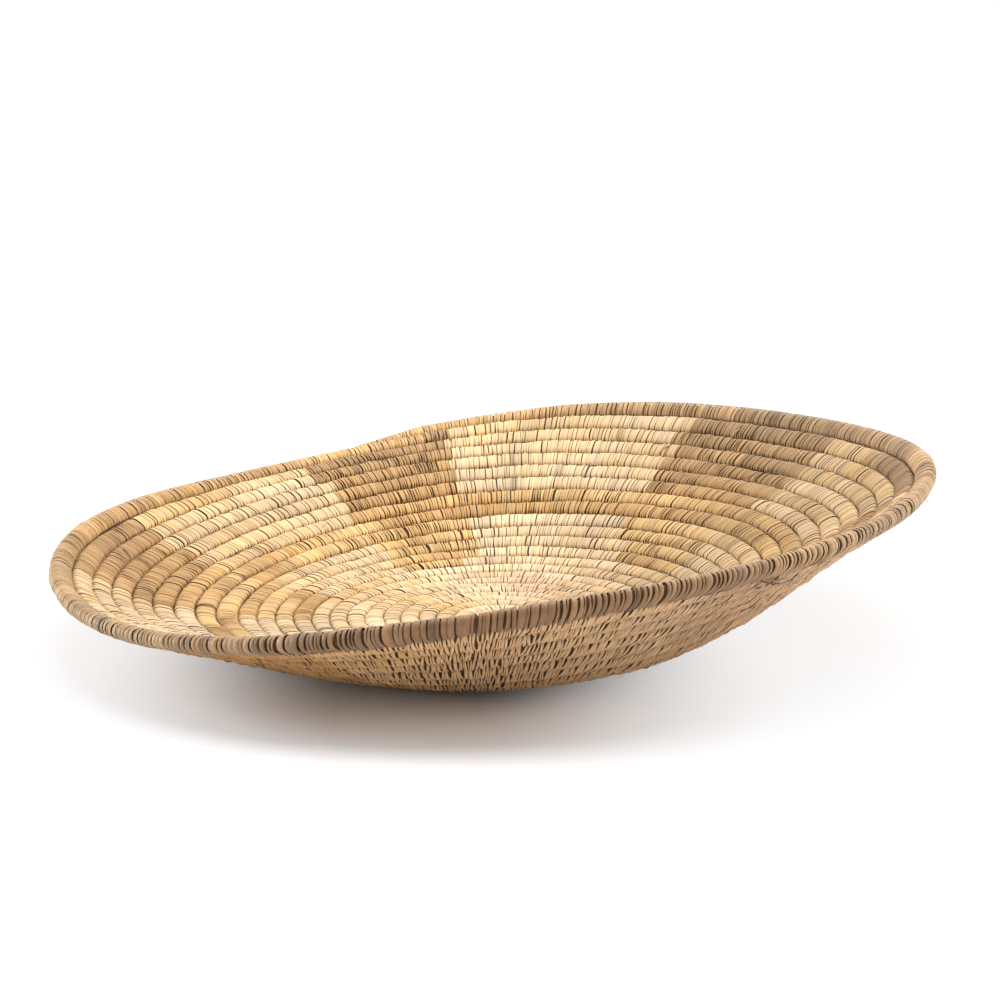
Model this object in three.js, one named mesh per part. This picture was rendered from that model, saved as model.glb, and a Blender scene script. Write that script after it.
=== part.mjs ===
// Coiled basket: a wide, shallow bowl, wound from one grass foundation coil and sewn together row to row
// with leaf strips in natural, tan and brown.
//
// The coil starts at a knot in the middle and runs outwards, counter-clockwise seen from above, to its
// tapered end on the rim. Its sewing changes colour as it goes: a natural centre, a zone of small blocks,
// a plain tan ring, a zone of tall blocks, and a brown rim. Each run of one colour is a piece of its own,
// with a bore for every row of the foundation that it holds.
//
// Millimetres and degrees, +Z up, the basket standing on Z = 0 with its width along X and its back at +Y.

import * as THREE from 'three';

// Rows of the coil, counted outwards from the knot
const CENTRE_ROWS = 10;
const INNER_BLOCK_ROWS = 4;
const RING_ROWS = 2;
const WALL_BLOCK_ROWS = 6;
const RIM_ROWS = 1;

// Width of the foundation bundle in each zone, measured along the wall
const CENTRE_BUNDLE = 5.2;
const INNER_BUNDLE = 5.5;
const RING_BUNDLE = 7.0;
const WALL_BUNDLE = 7.1;
const RIM_BUNDLE = 8.0;

// Sewing
const SEWING_THICKNESS = 1.5;      // leaf strips at each side of the bundle
const BUNDLE_CLEARANCE = 0.4;      // between the bundle and its sewing
const ROW_FLATNESS = 0.72;         // how thick a sewn row is through the wall, as a share of its width
const WAIST_THICKNESS = 3.4;       // sewing that joins two rows, measured through the wall
const PIECE_GAP = 0.3;             // between two pieces of sewing that meet
const TURN_GAP = 0.5;              // between the turns of one piece of sewing that winds round

// Start and end of the coil
const COIL_END_ANGLE = 102;        // where the last row ends, from +X
const TAPER_LENGTH = 42;           // how far the coil runs on there, along the rim
const TIP_SHARE = 0.35;            // size of its tip, as a share of the full section
const KNOT_CROWN = 0.8;            // how far the knot domes above its edge

// The bottom is pressed flat where it stands
const FLAT_DEPTH = 0.6;

// Shape of the wall. At each station, counted as a share of the way from the knot to the rim, the wall has
// a slope all round, and waves that make it steeper on some sides: how many waves go round the basket,
// how many degrees they add, and the direction in which the first one is highest.
const WALL_STATIONS = [
  { share: 0, slope: 0, waves: [] },
  { share: 0.26, slope: 0.6, waves: [] },
  { share: 0.477, slope: 15.0, waves: [[1, 15.3, 34], [2, 3.6, 17], [3, 1.7, -12]] },
  { share: 0.728, slope: 26.5, waves: [[1, 9.3, -38], [2, 8.1, -70], [3, 1.4, -40]] },
  { share: 1, slope: 31.0, waves: [[1, 7.6, -26], [2, 9.7, 11], [3, 9.4, 48], [4, 5.5, -6]] },
];

// Colour blocks, by the angle past the end of the coil at which each starts. The natural and the dyed
// blocks take turns, and both block zones share the same sides.
const BLOCK_STARTS = [0, 20, 56, 85, 120, 146, 194, 218, 242, 262, 287, 317];

// Facets
const FINE_STEPS = 24;             // steps in a turn from the inner blocks outwards
const COARSE_STEPS = 12;           // steps in a turn of the centre
const BUNDLE_SIDES = 5;
const WALL_STEPS = 96;             // steps from the knot to the rim in which the wall's slope is added up

// Colours
const NATURAL = { color: 0xd9bd8b, roughness: 0.78, metalness: 0 };
const TAN = { color: 0xbf965a, roughness: 0.78, metalness: 0 };
const BROWN = { color: 0x9c7548, roughness: 0.8, metalness: 0 };
const RIM_BROWN = { color: 0x866549, roughness: 0.72, metalness: 0 };
const GRASS = { color: 0xb7a06c, roughness: 0.9, metalness: 0 };

// Where each zone begins, in turns of the coil
const FIRST_TURN = 1;
const INNER_START = FIRST_TURN + CENTRE_ROWS;
const RING_START = INNER_START + INNER_BLOCK_ROWS;
const WALL_START = RING_START + RING_ROWS;
const RIM_START = WALL_START + WALL_BLOCK_ROWS;
const COIL_END = RIM_START + RIM_ROWS;

const radians = THREE.MathUtils.degToRad;

// The coil

const BUNDLE_BY_TURN = [
  [FIRST_TURN, CENTRE_BUNDLE],
  [INNER_START, CENTRE_BUNDLE],
  [INNER_START + 1, INNER_BUNDLE],
  [RING_START - 1, INNER_BUNDLE],
  [RING_START, RING_BUNDLE],
  [WALL_START, RING_BUNDLE],
  [WALL_START + 1, WALL_BUNDLE],
  [RIM_START - 1, WALL_BUNDLE],
  [RIM_START, RIM_BUNDLE],
];

function bundleWidth(turn) {
  const next = BUNDLE_BY_TURN.findIndex(([start]) => start > turn);
  if (next === 0) return CENTRE_BUNDLE;
  if (next < 0) return RIM_BUNDLE;
  const [startTurn, startSize] = BUNDLE_BY_TURN[next - 1];
  const [endTurn, endSize] = BUNDLE_BY_TURN[next];
  return THREE.MathUtils.mapLinear(turn, startTurn, endTurn, startSize, endSize);
}

// Half widths of the bore and of the sewn row, and the height of its crest off the wall's middle
const boreReach = (turn) => bundleWidth(turn) / 2 + BUNDLE_CLEARANCE;
const rowReach = (turn) => boreReach(turn) + SEWING_THICKNESS;
const crestHeight = (turn) => rowReach(turn) * ROW_FLATNESS;

// Distance along the wall from the middle to a place on the coil: the widths of the rows on the way
const DISTANCE_STEPS = 48;
const coilDistances = [0];
for (let i = 0; i < (COIL_END + 2) * DISTANCE_STEPS; i += 1) {
  coilDistances.push(coilDistances[i] + (2 * rowReach((i + 0.5) / DISTANCE_STEPS)) / DISTANCE_STEPS);
}

function coilDistance(turn) {
  const position = turn * DISTANCE_STEPS;
  const i = Math.floor(position);
  return THREE.MathUtils.lerp(coilDistances[i], coilDistances[i + 1], position - i);
}

const coilAngle = (turn) => COIL_END_ANGLE + 360 * (turn % 1);

// The wall

const wallLength = coilDistance(COIL_END);
const wallStep = wallLength / WALL_STEPS;

function stationSlope(station, angle) {
  return station.waves.reduce(
    (slope, [count, size, towards]) => slope + size * Math.cos(radians(count * (angle - towards))),
    station.slope,
  );
}

// The wall's slope in radians, at a distance from the middle and an angle round the basket
function wallSlope(distance, angle) {
  const share = distance / wallLength;
  const found = WALL_STATIONS.findIndex((station) => station.share > share);
  const next = found < 0 ? WALL_STATIONS.length - 1 : found;
  const [below, above] = [WALL_STATIONS[next - 1], WALL_STATIONS[next]];
  const part = Math.min((share - below.share) / (above.share - below.share), 1);
  return radians(THREE.MathUtils.lerp(stationSlope(below, angle), stationSlope(above, angle), part));
}

// Radius and height of the wall's middle along one direction, added up outwards step by step
const wallProfiles = new Map();

function wallProfile(angle) {
  const key = (((angle % 360) + 360) % 360).toFixed(4);
  if (!wallProfiles.has(key)) {
    const profile = [{ radius: 0, height: 0 }];
    for (let i = 0; i < WALL_STEPS * 1.2; i += 1) {
      const { radius, height } = profile[i];
      const slope = wallSlope((i + 0.5) * wallStep, angle);
      profile.push({
        radius: radius + wallStep * Math.cos(slope),
        height: height + wallStep * Math.sin(slope),
      });
    }
    wallProfiles.set(key, profile);
  }
  return wallProfiles.get(key);
}

// A point at a distance along the wall and a lift off its middle, towards the inside of the bowl
function freePoint(distance, lift, angle) {
  const profile = wallProfile(angle);
  const position = distance / wallStep;
  const i = Math.floor(position);
  const part = position - i;
  const slope = wallSlope(distance, angle);
  const middleRadius = THREE.MathUtils.lerp(profile[i].radius, profile[i + 1].radius, part);
  const middleHeight = THREE.MathUtils.lerp(profile[i].height, profile[i + 1].height, part);
  const radius = middleRadius - lift * Math.sin(slope);
  const height = middleHeight + lift * Math.cos(slope);
  return new THREE.Vector3(radius * Math.cos(radians(angle)), radius * Math.sin(radians(angle)), height);
}

function lowestHeight() {
  let lowest = Infinity;
  for (let turn = FIRST_TURN; turn < COIL_END; turn += 1 / FINE_STEPS) {
    lowest = Math.min(lowest, freePoint(coilDistance(turn), -crestHeight(turn), coilAngle(turn)).z);
  }
  return lowest;
}

const floorHeight = lowestHeight() + FLAT_DEPTH;

// The same point on the basket as it stands, pressed flat where it would reach below the floor
function wallPoint(distance, lift, angle) {
  const point = freePoint(distance, lift, angle);
  point.z = Math.max(point.z - floorHeight, 0);
  return point;
}

// Sections. A section lies in an upright plane through the middle: an outline and its holes, each as flat
// points (distance, lift) and as the points in space that they stand for.

function ring(flat, angle) {
  return { flat, points: flat.map(({ x, y }) => wallPoint(x, y, angle)) };
}

function oval(distance, reach) {
  return Array.from({ length: BUNDLE_SIDES }, (_, i) => {
    const side = (2 * Math.PI * i) / BUNDLE_SIDES;
    return new THREE.Vector2(distance + reach * Math.cos(side), reach * ROW_FLATNESS * Math.sin(side));
  });
}

// How much of its full size the coil has: all of it up to its end, then less as it tapers
const rimRadius = wallProfile(COIL_END_ANGLE)[WALL_STEPS].radius;
const TAPER_TURNS = TAPER_LENGTH / (2 * Math.PI * rimRadius);

function coilScale(turn) {
  return turn <= COIL_END ? 1 : 1 - ((1 - TIP_SHARE) * (turn - COIL_END)) / TAPER_TURNS;
}

// Draws a section in towards the row that it lies against, by the scale that its turn has
function tapered(flat, turn) {
  const scale = coilScale(turn);
  const base = coilDistance(turn - 0.5) + TURN_GAP / 2;
  return flat.map(({ x, y }) => new THREE.Vector2(base + (x - base) * scale, y * scale));
}

function bundleSection(turn) {
  const flat = tapered(oval(coilDistance(turn), bundleWidth(turn) / 2), turn);
  return { outline: ring(flat, coilAngle(turn)), holes: [] };
}

// How far out the centre's straight runs reach at a turn, as a share of the true curve they stand for
function coarseReach(turn) {
  const halfStep = Math.PI / COARSE_STEPS;
  const fromMiddle = ((turn * COARSE_STEPS) % 1) * 2 * halfStep - halfStep;
  return Math.cos(halfStep) / Math.cos(fromMiddle);
}

// Sewing over neighbouring rows: a crest above and below each bundle, and a waist between two rows. The
// first of the inner rows reaches in as far as the centre's straight runs.
function sewingSection(innerTurn, rows, gap) {
  const angle = coilAngle(innerTurn);
  const turns = Array.from({ length: rows }, (_, i) => innerTurn + i);
  const outerTurn = turns[rows - 1];
  const waist = WAIST_THICKNESS / 2;
  const meetsCentre = innerTurn >= INNER_START && innerTurn < INNER_START + 1;
  const reach = meetsCentre ? coarseReach(innerTurn) : 1;
  const innerEdge = coilDistance(innerTurn - 0.5) * reach + gap / 2;
  const outerEdge = coilDistance(outerTurn + 0.5) - gap / 2;
  const grooves = turns.slice(1).map((turn) => coilDistance(turn - 0.5));
  const below = [new THREE.Vector2(innerEdge, -waist)];
  turns.forEach((turn, i) => {
    below.push(new THREE.Vector2(coilDistance(turn), -crestHeight(turn)));
    below.push(new THREE.Vector2(i < rows - 1 ? grooves[i] : outerEdge, -waist));
  });
  const above = below.map(({ x, y }) => new THREE.Vector2(x, -y)).reverse();
  const outline = tapered([...below, ...above], outerTurn);
  const holes = turns.map((turn) => tapered(oval(coilDistance(turn), boreReach(turn)), outerTurn));
  return { outline: ring(outline, angle), holes: holes.map((hole) => ring(hole, angle)) };
}

// The section where the straight run between two stations meets the upright plane at the given turn, or a
// plane parallel to it, further on by the offset
function cutSection(sectionAt, turn, steps, offset) {
  const slack = 1e-6;
  const station = offset < 0 ? Math.ceil(turn * steps - slack) - 1 : Math.floor(turn * steps + slack);
  const start = sectionAt(station / steps);
  const end = sectionAt((station + 1) / steps);
  const angle = radians(coilAngle(turn));
  const normal = new THREE.Vector3(-Math.sin(angle), Math.cos(angle), 0);
  const cutRing = (from, to) => ({
    flat: from.flat.map((point, i) => point.clone().lerp(to.flat[i], 0.5)),
    points: from.points.map((point, i) => {
      const before = point.dot(normal) - offset;
      const after = to.points[i].dot(normal) - offset;
      return point.clone().lerp(to.points[i], before / (before - after));
    }),
  });
  return {
    outline: cutRing(start.outline, end.outline),
    holes: start.holes.map((hole, i) => cutRing(hole, end.holes[i])),
  };
}

// Sections from one turn to another, at every station between and cut square at both ends, each end back
// from its turn by its share of the gap to the next piece
function sectionsAlong(sectionAt, from, to, steps, startGap = PIECE_GAP / 2) {
  const sections = [cutSection(sectionAt, from, steps, startGap)];
  for (let i = Math.floor(from * steps + 1e-6) + 1; i < to * steps - 1e-6; i += 1) {
    sections.push(sectionAt(i / steps));
  }
  sections.push(cutSection(sectionAt, to, steps, -PIECE_GAP / 2));
  return sections;
}

// A closed solid through a row of sections
function loft(sections) {
  const positions = [];
  const indices = [];
  const ringsOf = (section) => [section.outline, ...section.holes];
  const ringStarts = sections.map((section) => ringsOf(section).map(({ points }) => {
    const start = positions.length / 3;
    points.forEach((point) => positions.push(point.x, point.y, point.z));
    return start;
  }));
  for (let i = 0; i < sections.length - 1; i += 1) {
    ringsOf(sections[i]).forEach(({ points }, r) => {
      const [here, there] = [ringStarts[i][r], ringStarts[i + 1][r]];
      points.forEach((_, j) => {
        const k = (j + 1) % points.length;
        const [a, b, c, d] = [here + j, there + j, there + k, here + k];
        if (r === 0) indices.push(a, b, c, a, c, d);
        else indices.push(a, c, b, a, d, c);
      });
    });
  }
  const cap = (section, start, flip) => {
    const holes = section.holes.map(({ flat }) => [...flat]);
    THREE.ShapeUtils.triangulateShape([...section.outline.flat], holes).forEach(([a, b, c]) => {
      indices.push(start + a, start + (flip ? c : b), start + (flip ? b : c));
    });
  };
  cap(sections[0], ringStarts[0][0], false);
  cap(sections[sections.length - 1], ringStarts[sections.length - 1][0], true);
  return solid(positions, indices);
}

function solid(positions, indices) {
  const geometry = new THREE.BufferGeometry();
  geometry.setAttribute('position', new THREE.Float32BufferAttribute(positions, 3));
  geometry.setIndex(indices);
  geometry.computeVertexNormals();
  return geometry;
}

// The foundation: one unbroken bundle from the knot to the tapered end
function foundationSections() {
  const end = COIL_END + TAPER_TURNS;
  return [
    ...sectionsAlong(bundleSection, FIRST_TURN, INNER_START, COARSE_STEPS, PIECE_GAP).slice(0, -1),
    bundleSection(INNER_START),
    ...sectionsAlong(bundleSection, INNER_START, COIL_END, FINE_STEPS).slice(1, -1),
    bundleSection(COIL_END),
    cutSection(bundleSection, end, FINE_STEPS, -PIECE_GAP / 2),
  ];
}

// Sewing that winds round the basket on its own row, from one turn of the coil to another
function windingSections(from, to, steps, startGap) {
  return sectionsAlong((turn) => sewingSection(turn, 1, TURN_GAP), from, to, steps, startGap);
}

// A block of several rows, between two angles past the end of the coil
function blockSections(firstRow, rows, fromAngle, toAngle) {
  const sectionAt = (turn) => sewingSection(firstRow + turn, rows, PIECE_GAP);
  return sectionsAlong(sectionAt, fromAngle / 360, toAngle / 360, FINE_STEPS);
}

// The knot that the coil starts from: a spiral disc, with a step where the first row begins
function knotGeometry() {
  const positions = [];
  const indices = [];
  const height = crestHeight(FIRST_TURN);
  const centreBelow = wallPoint(0, -height, COIL_END_ANGLE);
  const centreAbove = wallPoint(0, height + KNOT_CROWN, COIL_END_ANGLE);
  positions.push(...centreBelow.toArray(), ...centreAbove.toArray());
  for (let i = 0; i <= COARSE_STEPS; i += 1) {
    const turn = FIRST_TURN + i / COARSE_STEPS;
    const distance = coilDistance(turn - 0.5) - TURN_GAP / 2;
    const angle = COIL_END_ANGLE + (360 * i) / COARSE_STEPS;
    positions.push(...wallPoint(distance, -height, angle).toArray());
    positions.push(...wallPoint(distance, height, angle).toArray());
  }
  for (let i = 0; i < COARSE_STEPS; i += 1) {
    const [below, above] = [2 + 2 * i, 3 + 2 * i];
    indices.push(0, below + 2, below, 1, above, above + 2);
    indices.push(below, below + 2, above + 2, below, above + 2, above);
  }
  const [startBelow, startAbove] = [2, 3];
  const [endBelow, endAbove] = [2 + 2 * COARSE_STEPS, 3 + 2 * COARSE_STEPS];
  indices.push(0, startBelow, endBelow, 1, endAbove, startAbove);
  indices.push(startBelow, startAbove, endAbove, startBelow, endAbove, endBelow);
  return solid(positions, indices);
}

// The least gap between the turns of a winding, measured on the points of each section and of those next
// to them one turn further out
function leastTurnGap(sections, steps) {
  let least = Infinity;
  for (let i = 0; i + steps - 1 < sections.length; i += 1) {
    const outer = sections.slice(i + steps - 1, i + steps + 2);
    sections[i].outline.points.forEach((point) => {
      outer.forEach(({ outline }) => outline.points.forEach((other) => {
        least = Math.min(least, point.distanceTo(other));
      }));
    });
  }
  return least;
}

// Assembly

const group = new THREE.Group();
group.name = 'coiled_basket';

function add(name, geometry, finish) {
  const mesh = new THREE.Mesh(geometry, new THREE.MeshStandardMaterial(finish));
  mesh.name = name;
  group.add(mesh);
}

function addWinding(name, sections, finish, steps) {
  add(name, loft(sections), finish);
  if (sections.length > steps + 1) {
    console.log(`${name}: least gap between turns ${leastTurnGap(sections, steps).toFixed(2)} mm`);
  }
}

const foundation = foundationSections();
add('foundation_coil', loft(foundation), GRASS);
const coarseCount = CENTRE_ROWS * COARSE_STEPS + 1;
const foundationGap = Math.min(
  leastTurnGap(foundation.slice(0, coarseCount), COARSE_STEPS),
  leastTurnGap(foundation.slice(coarseCount - 1), FINE_STEPS),
);
console.log(`foundation_coil: least gap between turns ${foundationGap.toFixed(2)} mm`);

add('start_knot', knotGeometry(), NATURAL);
const centre = windingSections(FIRST_TURN, INNER_START, COARSE_STEPS, PIECE_GAP);
addWinding('centre_sewing', centre, NATURAL, COARSE_STEPS);
addWinding('ring_sewing', windingSections(RING_START, WALL_START, FINE_STEPS), TAN, FINE_STEPS);
addWinding('rim_sewing', windingSections(RIM_START, COIL_END, FINE_STEPS), RIM_BROWN, FINE_STEPS);
const taper = windingSections(COIL_END, COIL_END + TAPER_TURNS, FINE_STEPS);
addWinding('rim_end_sewing', taper, RIM_BROWN, FINE_STEPS);

BLOCK_STARTS.forEach((start, i) => {
  const end = BLOCK_STARTS[i + 1] ?? 360;
  const dyed = i % 2 === 0;
  const name = `${dyed ? 'dyed' : 'natural'}_block_${Math.floor(i / 2) + 1}`;
  const inner = blockSections(INNER_START, INNER_BLOCK_ROWS, start, end);
  const wall = blockSections(WALL_START, WALL_BLOCK_ROWS, start, end);
  add(`inner_${name}`, loft(inner), dyed ? TAN : NATURAL);
  add(`wall_${name}`, loft(wall), dyed ? BROWN : NATURAL);
});

// The origin is under the middle of the basket's whole outline
const box = new THREE.Box3().setFromObject(group);
const middle = box.getCenter(new THREE.Vector3());
group.position.set(-middle.x, -middle.y, 0);
group.updateMatrixWorld(true);

export default group;
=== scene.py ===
"""Coiled basket, strip by strip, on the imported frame.

A bundle of grass winds outwards from a knot, and thousands of thin leaf strips sew each row of it to the
row before. Every strip here is its own crowned ribbon. Inside the bowl the strips lie side by side from
groove to groove. Outside they lie more openly, lean, and some fork where they pierce the row below. The
rim is overcast with darker wraps, and the coil tapers off at the back left.

Sizes are in millimetres in the classes and in metres in the meshes. Angles are in degrees, and directions
go counter-clockwise from +X, seen from above.
"""

import logging
import math
from collections.abc import Callable, Iterable, Iterator
from dataclasses import astuple, dataclass, field
from enum import Enum

import bpy
import numpy as np
from bpy.types import Material, Node, NodeSocket, NodeTree, Object
from mathutils import Matrix, Vector

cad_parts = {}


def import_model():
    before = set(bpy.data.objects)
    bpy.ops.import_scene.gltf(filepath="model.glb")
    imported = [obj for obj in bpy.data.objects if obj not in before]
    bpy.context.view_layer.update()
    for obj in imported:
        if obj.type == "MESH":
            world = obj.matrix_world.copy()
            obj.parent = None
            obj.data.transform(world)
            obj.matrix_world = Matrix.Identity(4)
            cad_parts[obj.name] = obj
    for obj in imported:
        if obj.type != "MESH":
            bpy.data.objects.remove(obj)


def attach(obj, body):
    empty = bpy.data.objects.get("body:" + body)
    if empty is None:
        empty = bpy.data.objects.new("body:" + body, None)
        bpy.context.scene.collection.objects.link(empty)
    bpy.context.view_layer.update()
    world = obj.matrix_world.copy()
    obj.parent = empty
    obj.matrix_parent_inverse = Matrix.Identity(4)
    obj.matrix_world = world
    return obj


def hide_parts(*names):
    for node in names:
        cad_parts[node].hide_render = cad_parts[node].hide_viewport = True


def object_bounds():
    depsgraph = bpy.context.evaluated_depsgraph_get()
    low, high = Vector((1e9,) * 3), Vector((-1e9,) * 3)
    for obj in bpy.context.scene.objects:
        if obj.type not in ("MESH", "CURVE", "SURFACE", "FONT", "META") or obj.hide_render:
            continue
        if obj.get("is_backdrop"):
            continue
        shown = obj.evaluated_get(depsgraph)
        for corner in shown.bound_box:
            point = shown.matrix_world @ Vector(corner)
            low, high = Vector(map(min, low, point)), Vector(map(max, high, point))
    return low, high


log = logging.getLogger("coiled_basket")

Array = np.ndarray

MM = 0.001
SEED = 20
WHITE = (1.0, 1.0, 1.0, 1.0)


class Zone(Enum):
    """The zones of the coil, from the knot outwards."""

    CENTRE = "centre"
    INNER = "inner"
    RING = "ring"
    WALL = "wall"
    RIM = "rim"


class Kind(Enum):
    """What a strip was dyed with."""

    NATURAL = "natural"
    TAN = "tan"
    BROWN = "brown"
    RIM = "rim"


@dataclass(frozen=True)
class WallStation:
    """The wall's slope at a share of the way from the knot to the rim."""

    share: float  # how far out, from 0 to 1
    slope: float  # slope all round, in degrees
    # (count round the basket, degrees added, direction where it is highest)
    waves: tuple[tuple[int, float, float], ...] = ()

    def around(self, angles: Array) -> Array:
        """Its slope in each direction."""
        waves = (size * np.cos(np.radians(count * (angles - top))) for count, size, top in self.waves)
        return sum(waves, np.full_like(angles, self.slope))


@dataclass(frozen=True)
class CoilSizes:
    """The basket's driving sizes, the same as the frame's."""

    centre_rows: int = 10
    inner_rows: int = 4
    ring_rows: int = 2
    wall_rows: int = 6
    rim_rows: int = 1
    centre_bundle: float = 5.2
    inner_bundle: float = 5.5
    ring_bundle: float = 7.0
    wall_bundle: float = 7.1
    rim_bundle: float = 8.0
    sewing: float = 1.5  # how thick the strips lie over the bundle
    bundle_clearance: float = 0.4
    flatness: float = 0.72  # thickness of a row as a share of its width
    end_angle: float = 102.0  # direction in which the coil ends
    taper_length: float = 42.0
    taper_tip: float = 0.35  # what the taper leaves of a row
    flat_depth: float = 0.6  # how much of the underside rests flat
    centre_x: float = 4.142
    centre_y: float = -4.236
    stations: tuple[WallStation, ...] = (
        WallStation(0.00, 0.0),
        WallStation(0.26, 0.6),
        WallStation(0.477, 15.0, ((1, 15.3, 34), (2, 3.6, 17), (3, 1.7, -12))),
        WallStation(0.728, 26.5, ((1, 9.3, -38), (2, 8.1, -70), (3, 1.4, -40))),
        WallStation(1.00, 31.0, ((1, 7.6, -26), (2, 9.7, 11), (3, 9.4, 48), (4, 5.5, -6))),
    )
    # Where each colour block starts, in degrees past the coil's end
    block_starts: tuple[float, ...] = (0, 20, 56, 85, 120, 146, 194, 218, 242, 262, 287, 317)

    @property
    def inner_start(self) -> int:
        """Turn at which the inner blocks start."""
        return 1 + self.centre_rows

    @property
    def ring_start(self) -> int:
        """Turn at which the plain ring starts."""
        return self.inner_start + self.inner_rows

    @property
    def wall_start(self) -> int:
        """Turn at which the wall's blocks start."""
        return self.ring_start + self.ring_rows

    @property
    def rim_start(self) -> int:
        """Turn at which the rim starts."""
        return self.wall_start + self.wall_rows

    @property
    def coil_end(self) -> int:
        """Turn at which the rim ends and its taper starts."""
        return self.rim_start + self.rim_rows

    def zone(self, turn: float) -> Zone:
        """The zone that a turn of the coil lies in."""
        starts = (self.inner_start, self.ring_start, self.wall_start, self.rim_start)
        return list(Zone)[sum(turn >= start for start in starts)]


class Wall:
    """The warped bowl that the coil follows, as tables over distance from the middle and angle."""

    STEPS = 96  # rows of the tables from the middle to the coil's end
    BEYOND = 1.2  # how far the tables go, as a share of the distance to the coil's end
    LOOKS = 24.0  # places in a turn at which the lowest point is looked for

    def __init__(self, sizes: CoilSizes, coil: "Coil") -> None:
        """Works out the tables.

        Args:
            sizes: the basket's sizes.
            coil: the coil, which says how long the wall is.
        """
        self.sizes = sizes
        self.length = float(coil.distance(sizes.coil_end))
        self.step = self.length / self.STEPS
        self.angles = np.arange(361.0)
        count = int(self.STEPS * self.BEYOND)
        middle = self.slope((np.arange(count) + 0.5) * self.step)
        start = np.zeros((1, len(self.angles)))
        self.radii = np.vstack([start, np.cumsum(np.cos(middle), axis=0) * self.step])
        self.heights = np.vstack([start, np.cumsum(np.sin(middle), axis=0) * self.step])
        self.slopes = self.slope(np.arange(count + 1) * self.step)
        turns = np.arange(self.LOOKS, self.LOOKS * sizes.coil_end) / self.LOOKS
        underside = self.free(coil.distance(turns), -coil.crest(turns), coil.angle(turns))
        self.floor = float(underside[:, 2].min()) + sizes.flat_depth

    def slope(self, distances: Array) -> Array:
        """The wall's slope, between its stations.

        Args:
            distances: distances along the wall from the middle.

        Returns:
            Slopes in radians, shaped (distance, angle).
        """
        shares = np.array([station.share for station in self.sizes.stations])
        slopes = np.array([station.around(self.angles) for station in self.sizes.stations])
        share = np.minimum(distances / self.length, 1.0)
        below = np.clip(np.searchsorted(shares, share, side="right") - 1, 0, len(shares) - 2)
        part = ((share - shares[below]) / (shares[below + 1] - shares[below]))[:, None]
        return np.radians(slopes[below] * (1 - part) + slopes[below + 1] * part)

    def free(self, distance: Array, lift: Array, angle: Array) -> Array:
        """Points on the wall before the basket is set down.

        Args:
            distance: millimetres along the wall from the middle.
            lift: millimetres off the wall, towards the inside of the bowl.
            angle: direction of each point.

        Returns:
            Points in millimetres from the coil's middle.
        """
        row = np.clip(distance / self.step, 0, len(self.radii) - 1.001)
        column = np.mod(angle, 360.0)
        i, j = row.astype(int), np.minimum(column.astype(int), 359)
        u, v = row - i, column - j

        def look(table: Array) -> Array:
            """Reads a table between its entries.

            Args:
                table: a value for each step outwards and each degree round.

            Returns:
                A value for each point.
            """
            near = table[i, j] * (1 - v) + table[i, j + 1] * v
            far = table[i + 1, j] * (1 - v) + table[i + 1, j + 1] * v
            return near * (1 - u) + far * u

        slope = look(self.slopes)
        radius = look(self.radii) - lift * np.sin(slope)
        height = look(self.heights) + lift * np.cos(slope)
        turned = np.radians(angle)
        return np.stack([radius * np.cos(turned), radius * np.sin(turned), height], axis=-1)

    def point(self, distance: Array, lift: Array, angle: Array) -> Array:
        """The same points on the basket as it stands, in metres in the frame."""
        points = self.free(distance, lift, angle) + (self.sizes.centre_x, self.sizes.centre_y, -self.floor)
        return np.maximum(points, (-np.inf, -np.inf, 0.0)) * MM


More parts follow.
